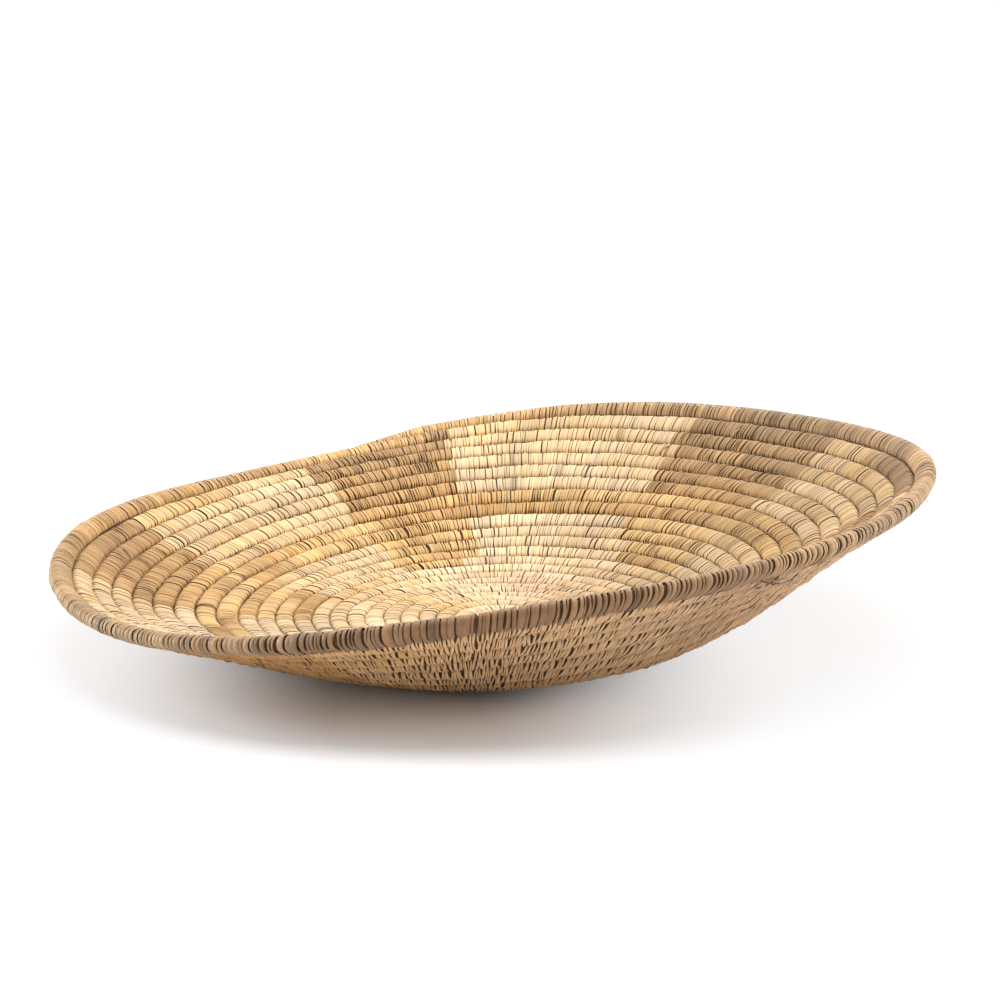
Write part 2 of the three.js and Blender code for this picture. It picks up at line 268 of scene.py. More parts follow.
class Coil:
    """The wound foundation: where each turn lies, and how wide and high its row is."""

    STEPS = 48  # entries of its tables in a turn
    PAST_TIP = 1.3  # how far past the taper's tip it goes on to narrow, in taper lengths

    def __init__(self, sizes: CoilSizes) -> None:
        """Winds the coil.

        Args:
            sizes: the basket's sizes.
        """
        self.sizes = sizes
        bundles = (
            (1, sizes.centre_bundle),
            (sizes.inner_start, sizes.centre_bundle),
            (sizes.inner_start + 1, sizes.inner_bundle),
            (sizes.ring_start - 1, sizes.inner_bundle),
            (sizes.ring_start, sizes.ring_bundle),
            (sizes.wall_start, sizes.ring_bundle),
            (sizes.wall_start + 1, sizes.wall_bundle),
            (sizes.rim_start - 1, sizes.wall_bundle),
            (sizes.rim_start, sizes.rim_bundle),
        )
        self.bundle_turns, self.bundle_sizes = (np.array(column, float) for column in zip(*bundles))
        self.turns = np.arange((sizes.coil_end + 2) * self.STEPS + 1) / self.STEPS
        widths = 2 * self.reach((self.turns[:-1] + self.turns[1:]) / 2)
        self.distances = np.concatenate([[0.0], np.cumsum(widths / self.STEPS)])
        self.wall = Wall(sizes, self)
        along = self.wall.free(self.distances, np.zeros_like(self.turns), self.angle(self.turns))
        self.radii = np.hypot(along[:, 0], along[:, 1])
        steps = math.tau * (self.radii[:-1] + self.radii[1:]) / 2 / self.STEPS
        self.arcs = np.concatenate([[0.0], np.cumsum(steps)])
        self.taper_turns = sizes.taper_length / (math.tau * float(self.radius(sizes.coil_end)))
        self.tip = sizes.coil_end + self.taper_turns

    def reach(self, turn: Array) -> Array:
        """Half the sewn row's width."""
        bundle = np.interp(turn, self.bundle_turns, self.bundle_sizes)
        return bundle / 2 + self.sizes.bundle_clearance + self.sizes.sewing

    def crest(self, turn: Array) -> Array:
        """Height of the sewn row's crest off the wall's middle."""
        return self.reach(turn) * self.sizes.flatness

    def distance(self, turn: Array) -> Array:
        """Distance along the wall from the middle to the coil."""
        return np.interp(turn, self.turns, self.distances)

    def angle(self, turn: Array) -> Array:
        """Direction of a place on the coil."""
        return self.sizes.end_angle + 360.0 * np.mod(turn, 1.0)

    def radius(self, turn: Array) -> Array:
        """Distance of the coil from the middle, seen from above."""
        return np.interp(turn, self.turns, self.radii)

    def arc(self, turn: Array) -> Array:
        """Length of the coil from the middle to a turn."""
        return np.interp(turn, self.turns, self.arcs)

    def turn_at(self, arc: Array) -> Array:
        """The turn at a length along the coil."""
        return np.interp(arc, self.arcs, self.turns)

    def place(self, turn: Array, across: Array, lift: Array) -> Array:
        """Points beside the coil, drawn in where it tapers.

        Args:
            turn: where along the coil.
            across: millimetres outwards along the wall from the row's middle.
            lift: millimetres off the wall, towards the inside of the bowl.

        Returns:
            Points in metres in the frame.
        """
        past = np.clip((turn - self.sizes.coil_end) / self.taper_turns, 0.0, self.PAST_TIP)
        scale = 1.0 - (1.0 - self.sizes.taper_tip) * past
        base = self.distance(turn - 0.5)
        distance = base + (self.distance(turn) + across - base) * scale
        return self.wall.point(distance, lift * scale, self.angle(turn))


def linear(hex_colour: int) -> Array:
    """The linear colour of an sRGB hex value."""
    values = np.array([(hex_colour >> shift) & 255 for shift in (16, 8, 0)]) / 255.0
    return np.where(values <= 0.04045, values / 12.92, ((values + 0.055) / 1.055) ** 2.4)


def blend(colours: Array, towards: Array, share: Array) -> Array:
    """Colours mixed with a share of another."""
    return colours * (1 - share) + towards * share


def around(stops: Iterable[tuple[float, float]], angle: Array) -> Array:
    """Values in some directions, from a table of (angle, value) that goes once round the basket."""
    angles, values = zip(*stops)
    return np.interp(np.mod(angle, 360.0), angles, values)


def facing(angle: Array, towards: float) -> Array:
    """How much directions agree with one, from 0 at a right angle or more to 1."""
    return np.clip(np.cos(np.radians(angle - towards)), 0, 1)


@dataclass(frozen=True)
class Finish:
    """How one kind of strip looks."""

    name: str  # the material's name
    colour: int  # sRGB colour of the strip
    aged: int  # sRGB colour that some strips lean towards
    spread: float  # how much strips differ in lightness
    roughness: float  # mean roughness
    sheen: float  # weight of the fibrous sheen
    slot: str  # the record's material slot


FINISHES = {
    Kind.NATURAL: Finish("natural_strip", 0xD5B488, 0xC9A166, 0.05, 0.58, 0.10, "natural"),
    Kind.TAN: Finish("tan_strip", 0xD8B176, 0xBA8F55, 0.06, 0.58, 0.10, "tan"),
    Kind.BROWN: Finish("brown_strip", 0xB88F59, 0x936E43, 0.07, 0.60, 0.10, "brown"),
    Kind.RIM: Finish("rim_strip", 0xB48D5A, 0x886643, 0.13, 0.44, 0.12, "rim_brown"),
}
# Painted shade: the grass bundle is coloured far darker than dry straw, so that the slits between strips look
# shaded
GRASS_IN_PAINTED_SHADE = Finish("dry_grass", 0x5E4327, 0x3C2A18, 0.10, 0.85, 0.05, "grass")

# Tints that strips lean towards, in sRGB
GOLDEN = 0xD0A466  # brown blocks, low in the wall
GREYED = 0x9A7E60  # brown blocks, near the rim
PAINTED_LIGHT_PALE = 0xF0DEBC  # painted light: the pale that undyed strips lean towards where the light falls
STITCHED = 0xDCA468  # everything outside
PAINTED_LIGHT_FRONT_RIGHT = 0xE6CDB4  # painted light on the front right of the outside
KNOT = 0xE2C79C  # the strips over the knot
STAINED = 0xD9A68C  # the faint stain inside the bowl

# How the brown of the rim changes round the basket, partly its dye and partly painted shade, darker at the
# front: angle, and an sRGB colour that it leans towards
RIM_TINTS_AND_SHADE = (
    (0, 0xCDA678), (45, 0xAC8D66), (80, 0xC89F68), (130, 0xC89C5E), (180, 0xC0985F),
    (225, 0xB0906B), (265, 0x8B6343), (320, 0xB48E66), (360, 0xCDA678),
)  # fmt: skip

# How far painted light pales the undyed strips, by angle
PAINTED_LIGHT_BY_ANGLE = (
    (0, 0.0), (45, 0.08), (75, 0.33), (110, 0.33), (145, 0.0),
    (180, 0.12), (212, 0.36), (260, 0.22), (330, 0.05), (360, 0.0),
)  # fmt: skip

# How far the outer ends of the stitches outside run ahead of their inner ends, by angle
OUTSIDE_LEANS = (
    (0, 4.0), (60, 1.6), (130, 1.2), (185, -0.4), (225, -2.4),
    (255, -0.3), (278, 2.4), (300, 6.0), (335, 6.5), (360, 4.0),
)  # fmt: skip


@dataclass(frozen=True)
class StripStyle:
    """How the strips of one zone lie."""

    pitch: tuple[float, float]  # least and most room for one strip, in millimetres along the coil
    unrest: float  # how much a strip's outer end runs ahead of or behind its inner end, from strip to strip
    crown: float = 0.32  # how far a strip's middle stands above its edges
    relief: float = 0.08  # how unevenly the strips stand off the row
    forked: float = 0.0  # share of the strips that split in two
    front_swell: float = 0.0  # how much wider the strips are at the front, and narrower at the back


INSIDE = {
    Zone.CENTRE: StripStyle((1.1, 1.9), 0.34, 0.36, 0.12),
    Zone.INNER: StripStyle((1.1, 2.0), 0.40, 0.38, 0.14),
    Zone.RING: StripStyle((1.1, 2.0), 0.44, 0.38, 0.15),
    Zone.WALL: StripStyle((1.1, 2.1), 0.48, 0.40, 0.16),
}
OUTSIDE = {
    Zone.CENTRE: StripStyle((1.5, 2.2), 0.7, 0.5, 0.16, 0.35),
    Zone.INNER: StripStyle((1.5, 2.2), 0.8, 0.5, 0.16, 0.35),
    Zone.RING: StripStyle((1.6, 2.4), 0.9, 0.5, 0.18, 0.40),
    Zone.WALL: StripStyle((1.6, 2.5), 1.0, 0.5, 0.20, 0.45),
}
RIM_STYLE = StripStyle((1.2, 3.1), 0.8, 0.46, 0.13, 0.0, 0.30)


@dataclass(frozen=True)
class Opening:
    """The gaps between strips of one kind."""

    reluctance: float  # how rarely the strips stand apart
    widest: float  # the widest gap, in millimetres
    place: float  # where it mostly is, from 0 at the strip's outer end to 1 at its inner end


OPENINGS = {
    Kind.NATURAL: Opening(0.75, 0.42, 0.72),
    Kind.TAN: Opening(-0.50, 0.85, 0.66),
    Kind.BROWN: Opening(-0.80, 0.95, 0.60),
    Kind.RIM: Opening(-0.55, 1.10, 0.50),
}


@dataclass(frozen=True)
class Course:
    """A strip's run over its row, with one value for each point of it."""

    run: Array  # how far along the run, from 0 at the outer end to 1 at the inner end
    width: Array  # share of the strip's full width
    shade: Array  # painted shade: how light the strip is, darker at its ends where it dives under the rows
    step: float  # centimetres from point to point, for the fibres
    flip: bool  # whether the quads' order is turned round, so that they face out
    # Parameter angle over the row's section, from its outer side over its inside crest
    phi: Array | None = None


# The shade of each course is painted shade in the grooves, where the strips' ends dive under the rows
INSIDE_COURSE = Course(
    run=np.linspace(0.0, 1.0, 13),
    width=np.array([0.70, 0.84, 0.95, 1, 1, 1, 1, 1, 0.98, 0.90, 0.76, 0.60, 0.40]),
    shade=np.array([0.30, 0.52, 0.82, 0.95, 1, 1, 1, 1, 1, 0.97, 0.88, 0.64, 0.24]),
    step=0.15,
    flip=False,
    phi=np.array([-12.0, 6, 22, 38, 54, 74, 96, 118, 134, 148, 161, 173, 186]),
)
OUTSIDE_COURSE = Course(
    run=np.array([0.0, 0.08, 0.28, 0.52, 0.76, 0.92, 1.0]),
    width=np.array([0.75, 0.95, 1.0, 1.0, 0.92, 0.7, 0.4]),
    shade=np.array([0.35, 0.75, 1.0, 1.0, 1.0, 0.85, 0.35]),
    step=0.2,
    flip=True,
)
RIM_COURSE = Course(
    run=np.linspace(0.0, 1.0, 15),
    width=np.array([0.6, 0.85, 0.97, 1, 1, 1, 1, 1, 1, 1, 1, 0.98, 0.90, 0.70, 0.36]),
    shade=np.array([0.45, 0.7, 0.95, 1, 1, 1, 1, 1, 1, 1, 1, 0.97, 0.92, 0.85, 0.5]),
    step=0.22,
    flip=True,
    phi=np.array([190.0, 170, 146, 118, 90, 62, 34, 8, -18, -44, -70, -96, -122, -148, -168]),
)


class Drift:
    """Chance that changes slowly along the coil."""

    GAIN = 1.15  # what makes up for the smoothing between its knots

    def __init__(self, rng: np.random.Generator, length: float, spacing: float) -> None:
        """Draws it.

        Args:
            rng: its source.
            length: length of the coil, in millimetres.
            spacing: how far it takes to change.
        """
        self.spacing = spacing
        self.knots = rng.normal(0.0, 1.0, int(length / spacing) + 3)

    def at(self, arc: Array) -> Array:
        """Its value along the coil.

        Args:
            arc: lengths along the coil.

        Returns:
            Values of about -2 to 2.
        """
        place = np.clip(arc / self.spacing, 0, len(self.knots) - 2.001)
        i = place.astype(int)
        part = place - i
        part = part * part * (3.0 - 2.0 * part)
        return (self.knots[i] * (1.0 - part) + self.knots[i + 1] * part) * self.GAIN


@dataclass
class Strips:
    """Strips laid one after another along the coil."""

    SLACK = 0.05  # the room that is left between any two strips, in millimetres
    NARROWEST = 0.35  # the least width that a gap leaves of a strip

    turn: Array  # the middle of each strip
    pitch: Array  # the room for it, in millimetres along the coil
    gap: Array  # the widest gap beside it
    gap_at: Array  # where that gap is, from 0 at the strip's outer end to 1 at its inner end
    gap_length: Array  # how far it reaches either way

    def __len__(self) -> int:
        """How many strips there are."""
        return len(self.turn)

    def pick(self, keep: Array) -> "Strips":
        """The strips that a mask or a list of places keeps."""
        return Strips(*(values[keep] for values in vars(self).values()))

    def widths(self, run: Array) -> Array:
        """Width of each strip along its run, shaped (strip, along): narrower where the gap is."""
        bump = np.exp(-(((run[None, :] - self.gap_at[:, None]) / self.gap_length[:, None]) ** 2))
        return np.maximum(self.pitch[:, None] - self.SLACK - self.gap[:, None] * bump, self.NARROWEST)


@dataclass
class Ribbons:
    """Crowned ribbons gathered for one piece: points, quads, colours and UVs."""

    points: list[Array] = field(default_factory=list)
    quads: list[Array] = field(default_factory=list)
    colours: list[Array] = field(default_factory=list)
    uvs: list[Array] = field(default_factory=list)
    total: int = 0

    def add(self, grid: Array, colours: Array, uvs: Array, flip: bool) -> None:
        """Adds a batch of ribbons.

        Args:
            grid: points, shaped (ribbon, along, across, 3).
            colours: linear colours, shaped like the grid.
            uvs: UV of each point, shaped (ribbon, along, across, 2).
            flip: whether the quads' order is turned round, so that they face out.
        """
        ribbons, along, across, _ = grid.shape
        index = np.arange(ribbons * along * across).reshape(ribbons, along, across) + self.total
        corners = [index[:, :-1, :-1], index[:, :-1, 1:], index[:, 1:, 1:], index[:, 1:, :-1]]
        if flip:
            corners.reverse()
        self.quads.append(np.stack(corners, axis=-1).reshape(-1, 4))
        self.points.append(grid.reshape(-1, 3))
        self.colours.append(colours.reshape(-1, 3))
        self.uvs.append(uvs.reshape(-1, 2))
        self.total += ribbons * along * across

    def build(self, name: str) -> Object:
        """Makes a smooth mesh object with a point colour and a UV map from everything gathered.

        Args:
            name: the object's name.

        Returns:
            The object, linked to the scene.
        """
        points, quads, colours, uvs = map(np.concatenate, (self.points, self.quads, self.colours, self.uvs))
        mesh = bpy.data.meshes.new(name)
        mesh.vertices.add(len(points))
        mesh.vertices.foreach_set("co", points.astype(np.float32).ravel())
        mesh.loops.add(quads.size)
        mesh.loops.foreach_set("vertex_index", quads.astype(np.int32).ravel())
        mesh.polygons.add(len(quads))
        mesh.polygons.foreach_set("loop_start", np.arange(0, quads.size, 4, dtype=np.int32))
        mesh.update(calc_edges=True)
        layer = mesh.color_attributes.new(name="strip_color", type="FLOAT_COLOR", domain="POINT")
        rgba = np.concatenate([colours, np.ones((len(colours), 1))], axis=1)
        layer.data.foreach_set("color", rgba.astype(np.float32).ravel())
        uv_map = mesh.uv_layers.new(name="strip_uv")
        uv_map.data.foreach_set("uv", uvs[quads.ravel()].astype(np.float32).ravel())
        mesh.shade_smooth()
        thing = bpy.data.objects.new(name, mesh)
        bpy.context.collection.objects.link(thing)
        return thing


@dataclass(frozen=True)
class Oval:
    """A flattened round section, as a path over it."""

    across: Array  # places across the row, shaped (ribbon, along)
    lift: Array  # places off the wall, shaped alike
    out_across: Array  # how far the outward direction points across the row
    out_lift: Array  # how far it points off the wall

    @classmethod
    def over(cls, phi: Array, power: float, reach: Array, crest: Array) -> "Oval":
        """Walks over a superellipse.

        Args:
            phi: parameter angles in degrees, from the row's outer side over its inside crest.
            power: 2 for an ellipse, more for a squarer section.
            reach: half width of each ribbon's row.
            crest: half thickness of each ribbon's row.

        Returns:
            The path for every ribbon.
        """
        cos, sin = np.cos(np.radians(phi)), np.sin(np.radians(phi))
        unit_across = np.sign(cos) * np.abs(cos) ** (2.0 / power)
        unit_lift = np.sign(sin) * np.abs(sin) ** (2.0 / power)
        steep_across = np.sign(cos) * np.abs(unit_across) ** (power - 1.0) / reach[:, None]
        steep_lift = np.sign(sin) * np.abs(unit_lift) ** (power - 1.0) / crest[:, None]
        size = np.hypot(steep_across, steep_lift)
        across, lift = reach[:, None] * unit_across, crest[:, None] * unit_lift
        return cls(across, lift, steep_across / size, steep_lift / size)


class Pattern:
    """The colour blocks: which strip was dyed, and with what."""

    JAG = 1.8  # degrees by which a block's edge may stray in each row
    LEAD = 4.2  # degrees by which the first dyed block starts before the coil's end
    SLANT = 2.2  # degrees by which the back natural inner block grows in each row inwards
    RIGHT = (8, 9)  # the edges of the dyed block at the right
    HIDDEN = 14.0  # degrees by which that block lies further to the front, in all rows but the top one
    LONGER = 8.0  # degrees by which that block is longer in the top row
    # The kinds of the zones that have no blocks
    PLAIN = {Zone.CENTRE: Kind.NATURAL, Zone.RING: Kind.TAN, Zone.RIM: Kind.RIM}

    def __init__(self, sizes: CoilSizes, rng: np.random.Generator) -> None:
        """Sets the edges of the blocks in each row.

        Args:
            sizes: the basket's sizes.
            rng: the source of their unevenness.
        """
        self.sizes = sizes
        top = sizes.rim_start - 1
        starts = np.array(sizes.block_starts, float)
        jag = rng.uniform(-self.JAG, self.JAG, (sizes.coil_end + 1, len(starts)))
        jag[:, 0] -= self.LEAD
        jag[:top, self.RIGHT] -= self.HIDDEN
        jag[top, self.RIGHT[1]] += self.LONGER
        inner = np.arange(sizes.inner_start, sizes.ring_start)
        jag[inner, -1] -= self.SLANT * (sizes.ring_start - 1 - inner)
        self.edges = starts[None, :] + jag

    def block(self, turn: float) -> int:
        """Finds the block of a place on the coil.

        Args:
            turn: the place.

        Returns:
            The block's index: even where it is dyed, odd where it is natural.
        """
        row, past = int(turn), 360.0 * (turn % 1.0)
        if past - 360.0 > self.edges[min(row + 1, len(self.edges) - 1), 0]:
            return 0
        return int(np.searchsorted(self.edges[row, 1:], past, side="right"))

    def kind(self, turn: float) -> Kind:
        """Finds how the strip at a place was dyed.

        Args:
            turn: the place on the coil.

        Returns:
            Its kind.
        """
        zone = self.sizes.zone(turn)
        if zone in self.PLAIN:
            return self.PLAIN[zone]
        if self.block(turn) % 2:
            return Kind.NATURAL
        return Kind.TAN if zone is Zone.INNER else Kind.BROWN

    def kinds(self, turns: Array) -> list[Kind]:
        """How the strips at some places were dyed."""
        return [self.kind(turn) for turn in turns]


class Sewing:
    """Lays the leaf strips over the coil."""

    COLUMNS = np.array([-0.5, -0.33, 0.33, 0.5])  # places of a ribbon's points across it, in its widths
    EDGES = np.array([True, False, False, True])  # which of them are its edges
    # Painted shade in the slits: how light an edge beside a wide gap is, by kind
    EDGE_TONES = {Kind.NATURAL: 0.76, Kind.TAN: 0.36, Kind.BROWN: 0.26, Kind.RIM: 0.24}
    SNUG = 0.985  # how close to the sleeve's full width the strips lie
    INSIDE_POWER = 3.0  # how square the rows are inside, where 2 is an ellipse
    RIM_POWER = 2.35  # how square the rim is
    KNOT_STRIPS = 20  # strips over each face of the knot
    KNOT_REACH = 7.0  # how far they run, in millimetres
    STAIN_PLACE = (0.019, 0.052)  # middle of the faint stain inside the bowl, in metres
    STAIN_REACH = 0.021  # how far it reaches

    def __init__(self, coil: Coil, pattern: Pattern, rng: np.random.Generator) -> None:
        """Takes up the coil.

        Args:
            coil: the coil to sew.
            pattern: its colour blocks.
            rng: the source of everything uneven.
        """
        self.coil = coil
        self.pattern = pattern
        self.rng = rng
        length = float(coil.arcs[-1])
        self.clusters = Drift(rng, length, 13.0)
        self.flurries = Drift(rng, length, 4.5)
        self.gap_drift = Drift(rng, length, 17.0)
        self.gap_sizes = Drift(rng, length, 9.0)
        self.leans = Drift(rng, length, 24.0)
        self.swell = Drift(rng, length, 19.0)
        self.patches = Drift(rng, length, 21.0)
        self.small_patches = Drift(rng, length, 6.0)
        self.ages = Drift(rng, length, 34.0)

    def lay(self, start: float, end: float, style: StripStyle) -> Strips:
        """Places strips one after another along the coil.

        Args:
            start: turn of the first strip.
            end: turn of the last one.
            style: how much room the strips have.

        Returns:
            The strips, with the gaps between them.
        """
        first, last = self.coil.arc(start), self.coil.arc(end)
        least, most = style.pitch
        plenty = int((last - first) / least * 1.3) + 4
        pitch = least + (most - least) * self.rng.random(plenty) ** 1.3
        stops = np.linspace(start, end, 400)
        swell = 1.0 - style.front_swell * np.sin(np.radians(self.coil.angle(stops)))
        ends = first + np.cumsum(pitch * float(np.mean(swell)))
        swell = np.interp(self.coil.turn_at(np.minimum(ends, last)), stops, swell)
        pitch = pitch * swell
        middle = first + np.cumsum(pitch) - pitch / 2
        keep = middle < last
        middle, pitch, swell = middle[keep], pitch[keep], swell[keep]
        turn, count = self.coil.turn_at(middle), len(middle)
        openings = [astuple(OPENINGS[kind]) for kind in self.pattern.kinds(turn)]
        reluctance, widest, place = np.array(openings).T
        urge = self.clusters.at(middle) + 0.45 * self.flurries.at(middle) + self.rng.normal(0, 0.35, count)
        gap = np.clip((urge - reluctance) * 0.7, 0.0, 1.0) * widest * self.rng.uniform(0.6, 1.0, count)
        gap *= np.minimum(swell**3, 1.1)
        gap_at = place + 0.20 * self.gap_drift.at(middle) + self.rng.normal(0, 0.05, count)
        gap_length = 0.17 + 0.06 * self.gap_sizes.at(middle) + self.rng.normal(0, 0.03, count)
        return Strips(turn, pitch, gap, np.clip(gap_at, 0.2, 1.0), np.clip(gap_length, 0.09, 0.34))

    def raised(self, turn: Array, relief: float, level: float, points: int) -> Array:
        """How far strips stand off their row: slowly changing, and uneven from strip to strip.

        Args:
            turn: where the strips are along the coil.
            relief: how uneven they are.
            level: how far they all stand off it.
            points: how many points a strip has along its run.

        Returns:
            Heights, shaped (strip, along).
        """
        height = level + 0.20 * self.swell.at(self.coil.arc(turn)) + self.rng.normal(0, relief, len(turn))
        return np.repeat(height[:, None], points, axis=1)

    def bow(self, run: Array, size: float, count: int) -> Array:
        """How far some strips bow to one side along their run, shaped (strip, along)."""
        return self.rng.normal(0, size, count)[:, None] * (1.0 - (2.0 * run[None, :] - 1.0) ** 2)

    def dyed(self, turn: Array, angle: Array, right_shade: Array) -> tuple[Array, Array]:
        """The strips' colours, as dyed and aged, with painted light on undyed strips and painted shade on the
        right and at the rim's front.

        Args:
            turn: where the strips are along the coil.
            angle: their directions, from 0 to 360.
            right_shade: how far each lies towards the right side, where painted shade makes the brown near
                the rim greyer.

        Returns:
            Linear colours, shaped (strip, 3), and how much their lightness spreads, shaped (strip, 1).
        """
        kinds = self.pattern.kinds(turn)
        brown, undyed, rim = (
            np.array([one is kind for one in kinds], bool)[:, None]
            for kind in (Kind.BROWN, Kind.NATURAL, Kind.RIM)
        )
        fresh = np.array([linear(FINISHES[kind].colour) for kind in kinds]).reshape(-1, 3)
        aged = np.array([linear(FINISHES[kind].aged) for kind in kinds]).reshape(-1, 3)
        arc = self.coil.arc(turn)
        age = 0.42 + 0.28 * self.ages.at(arc) + 0.18 * self.small_patches.at(arc)
        age += self.rng.normal(0, 0.12, len(turn))
        colour = blend(fresh, aged, np.clip(age, 0, 1)[:, None])
        sizes = self.coil.sizes
        depth = np.clip((sizes.rim_start - turn) / sizes.wall_rows, 0, 1)[:, None]
        # Brown goes golden low in the wall and grey near the rim, and greyer on the right as painted shade
        gold, grey = 0.55 * depth, (0.25 + 0.35 * right_shade[:, None]) * (1 - depth) ** 2
        warmed = colour * (1 - gold - grey) + linear(GOLDEN) * gold + linear(GREYED) * grey
        colour = np.where(brown, warmed, colour)
        # Painted light: undyed strips go paler by direction, and more so low in the wall
        pale = around(PAINTED_LIGHT_BY_ANGLE, angle)[:, None] * (0.35 + 0.65 * depth)
        colour = np.where(undyed, blend(colour, linear(PAINTED_LIGHT_PALE), pale), colour)
        # The rim leans towards its tint by direction: partly its dye, partly painted shade at the front
        channels = zip(*(linear(tint) for _, tint in RIM_TINTS_AND_SHADE))
        stops = [stop for stop, _ in RIM_TINTS_AND_SHADE]
        tint = np.stack([around(zip(stops, channel), angle) for channel in channels], axis=1)
        colour = np.where(rim, blend(colour, tint, 0.65), colour)
        return colour, np.array([FINISHES[kind].spread for kind in kinds])[:, None]

    def colours(self, turn: Array, outside: bool) -> Array:
        """A linear colour for each strip, by its block, its row and chance, with painted light and shade by
        its side of the basket.

        Args:
            turn: where the strips are along the coil.
            outside: whether they lie outside the bowl.

        Returns:
            Colours, shaped (strip, 3).
        """
        count, arc = len(turn), self.coil.arc(turn)
        angle = np.mod(self.coil.angle(turn), 360.0)
        # Painted shade towards the right and painted light towards the back left; the patches are the strips'
        # own tone
        right_shade = facing(angle, 28.0) ** 2
        colour, spread = self.dyed(turn, angle, right_shade)
        tone = 0.07 * self.patches.at(arc) + 0.05 * self.small_patches.at(arc) + 0.145 * facing(angle, 112.0)
        colour *= np.exp((tone - 0.22 * right_shade)[:, None] + self.rng.normal(0, 1, (count, 1)) * spread)
        smudged = (self.rng.random(count) < 0.005).astype(float)
        smudged = np.convolve(smudged, np.ones(3), mode="same").clip(0, 1)[:count, None]
        colour *= 1 - 0.30 * smudged
        if outside:
            colour = colour * 0.60 + linear(STITCHED) * 0.60
            # Painted light: the outside's front right goes paler, where the light falls
            colour = blend(colour, linear(PAINTED_LIGHT_FRONT_RIGHT), 0.45 * facing(angle, 325.0)[:, None] ** 2)
        else:
            places = self.coil.place(turn, np.zeros(count), np.zeros(count))[:, :2]
            away = np.hypot(*(places - self.STAIN_PLACE).T) / self.STAIN_REACH
            colour = blend(colour, linear(STAINED), 0.45 * np.exp(-(away**2))[:, None])
        return np.clip(colour, 0.0, 0.9)

    def strip_uvs(self, count: int, length: Array) -> Array:
        """UVs: across in strips, each with its own whole number, and along in centimetres.

        Args:
            count: how many strips there are.
            length: where their points are along them.

        Returns:
            UVs, shaped (strip, along, across, 2).
        """
        uvs = np.zeros((count, len(length), len(self.COLUMNS), 2))
        uvs[..., 0] = self.COLUMNS + 0.5 + self.rng.integers(0, 4000, count)[:, None, None]
        uvs[..., 1] = length[None, :, None] + self.rng.uniform(0, 50, count)[:, None, None]
        return uvs

    def ribbons(
        self, turn: Array, path: Oval, widths: Array, shift: Array, raise_by: Array, crown: Array
    ) -> Array:
        """Bends ribbons over the coil.

        Args:
            turn: middle of each ribbon along the coil.
            path: the path over the row.
            widths: width along the path, shaped (ribbon, along).
            shift: how far the path runs ahead along the coil, shaped (ribbon, along).
            raise_by: how far the ribbon stands off the path, shaped (ribbon, along).
            crown: how far the middle of each ribbon stands above its edges.

        Returns:
            Points shaped (ribbon, along, across, 3).
        """
        crown = crown[:, None, None]
        curl = self.rng.normal(0, 0.5, len(turn)).clip(-1.0, 1.0)[:, None, None] * crown
        drop = np.where(self.EDGES, crown + curl * np.sign(self.COLUMNS), 0.0)
        side = self.COLUMNS * widths[:, :, None] + shift[:, :, None]
        round_trip = math.tau * np.maximum(self.coil.radius(turn), 3.0)
        where = turn[:, None, None] + side / round_trip[:, None, None]
        off = raise_by[:, :, None] - drop
        across = path.across[:, :, None] + off * path.out_across[:, :, None]
        lift = path.lift[:, :, None] + off * path.out_lift[:, :, None]
        return self.coil.place(*np.broadcast_arrays(where, across, lift))

    def add(self, into: Ribbons, strips: Strips, course: Course, grid: Array, colour: Array) -> None:
        """Adds ribbons to a piece, with painted shade at their ends, where they dive under the rows, and at
        their edges where a gap is.

        Args:
            into: the piece.
            strips: the strips they are.
            course: their run.
            grid: the ribbons' points.
            colour: a linear colour for each ribbon.
        """
        count, along = grid.shape[:2]
        edge = np.array([self.EDGE_TONES[kind] for kind in self.pattern.kinds(strips.turn)])
        near = 0.12 + 0.88 * np.exp(-(((course.run[None, :] - strips.gap_at[:, None]) / 0.23) ** 2))
        apart = 0.35 + 0.65 * np.clip(strips.gap / 0.55, 0.0, 1.0)
        # painted shade: edges darken near the gap, as the slit between strips would be shaded
        dark = (1.0 - edge)[:, None] * near * (apart * self.rng.uniform(0.6, 1.15, count))[:, None]
        tone = course.shade[None, :, None] * (1.0 - self.EDGES * dark[:, :, None])
        uvs = self.strip_uvs(count, np.arange(along) * course.step)
        into.add(grid, colour[:, None, None, :] * tone[..., None], uvs, course.flip)

    def inside(self, strips: Strips, style: StripStyle, into: Ribbons) -> None:
        """Adds the strips that show inside the bowl, from the outer groove over the crest to the inner.

        Their inner ends pierce the next row at its shoulder, some higher and some lower.

        Args:
            strips: the strips.
            style: how they lie.
            into: the piece they belong to.
        """
        course, turn, count = INSIDE_COURSE, strips.turn, len(strips)
        reach, crest = self.coil.reach(turn), self.coil.crest(turn)
        path = Oval.over(course.phi, self.INSIDE_POWER, reach * self.SNUG, crest * 0.94)
        bite = self.rng.random(count) * (0.75 + 0.35 * self.rng.random(count))
        path.across[:, -1] = -(reach + 0.75 * bite)
        path.lift[:, -1] = crest * (-0.05 + 0.5 * bite)
        path.lift[:, -2] += crest * 0.24 * bite
        path.lift[:, -3:] += (crest * self.rng.normal(0, 0.06, count))[:, None]
        path.across[:, 0] += 0.5 * self.rng.random(count)
        lean = 0.7 * self.leans.at(self.coil.arc(turn)) + self.rng.normal(0, style.unrest, count)
        shift = lean[:, None] * (0.5 - course.run) + self.bow(course.run, 0.26, count)
        raise_by = self.raised(turn, style.relief, 0.05, len(course.run))
        raise_by[:, 0] -= 0.35
        undyed = [kind is Kind.NATURAL for kind in self.pattern.kinds(turn)]
        crown = style.crown * np.where(undyed, 0.35, 0.8)
        grid = self.ribbons(turn, path, strips.widths(course.run) * course.width, shift, raise_by, crown)
        self.add(into, strips, course, grid, self.colours(turn, False))

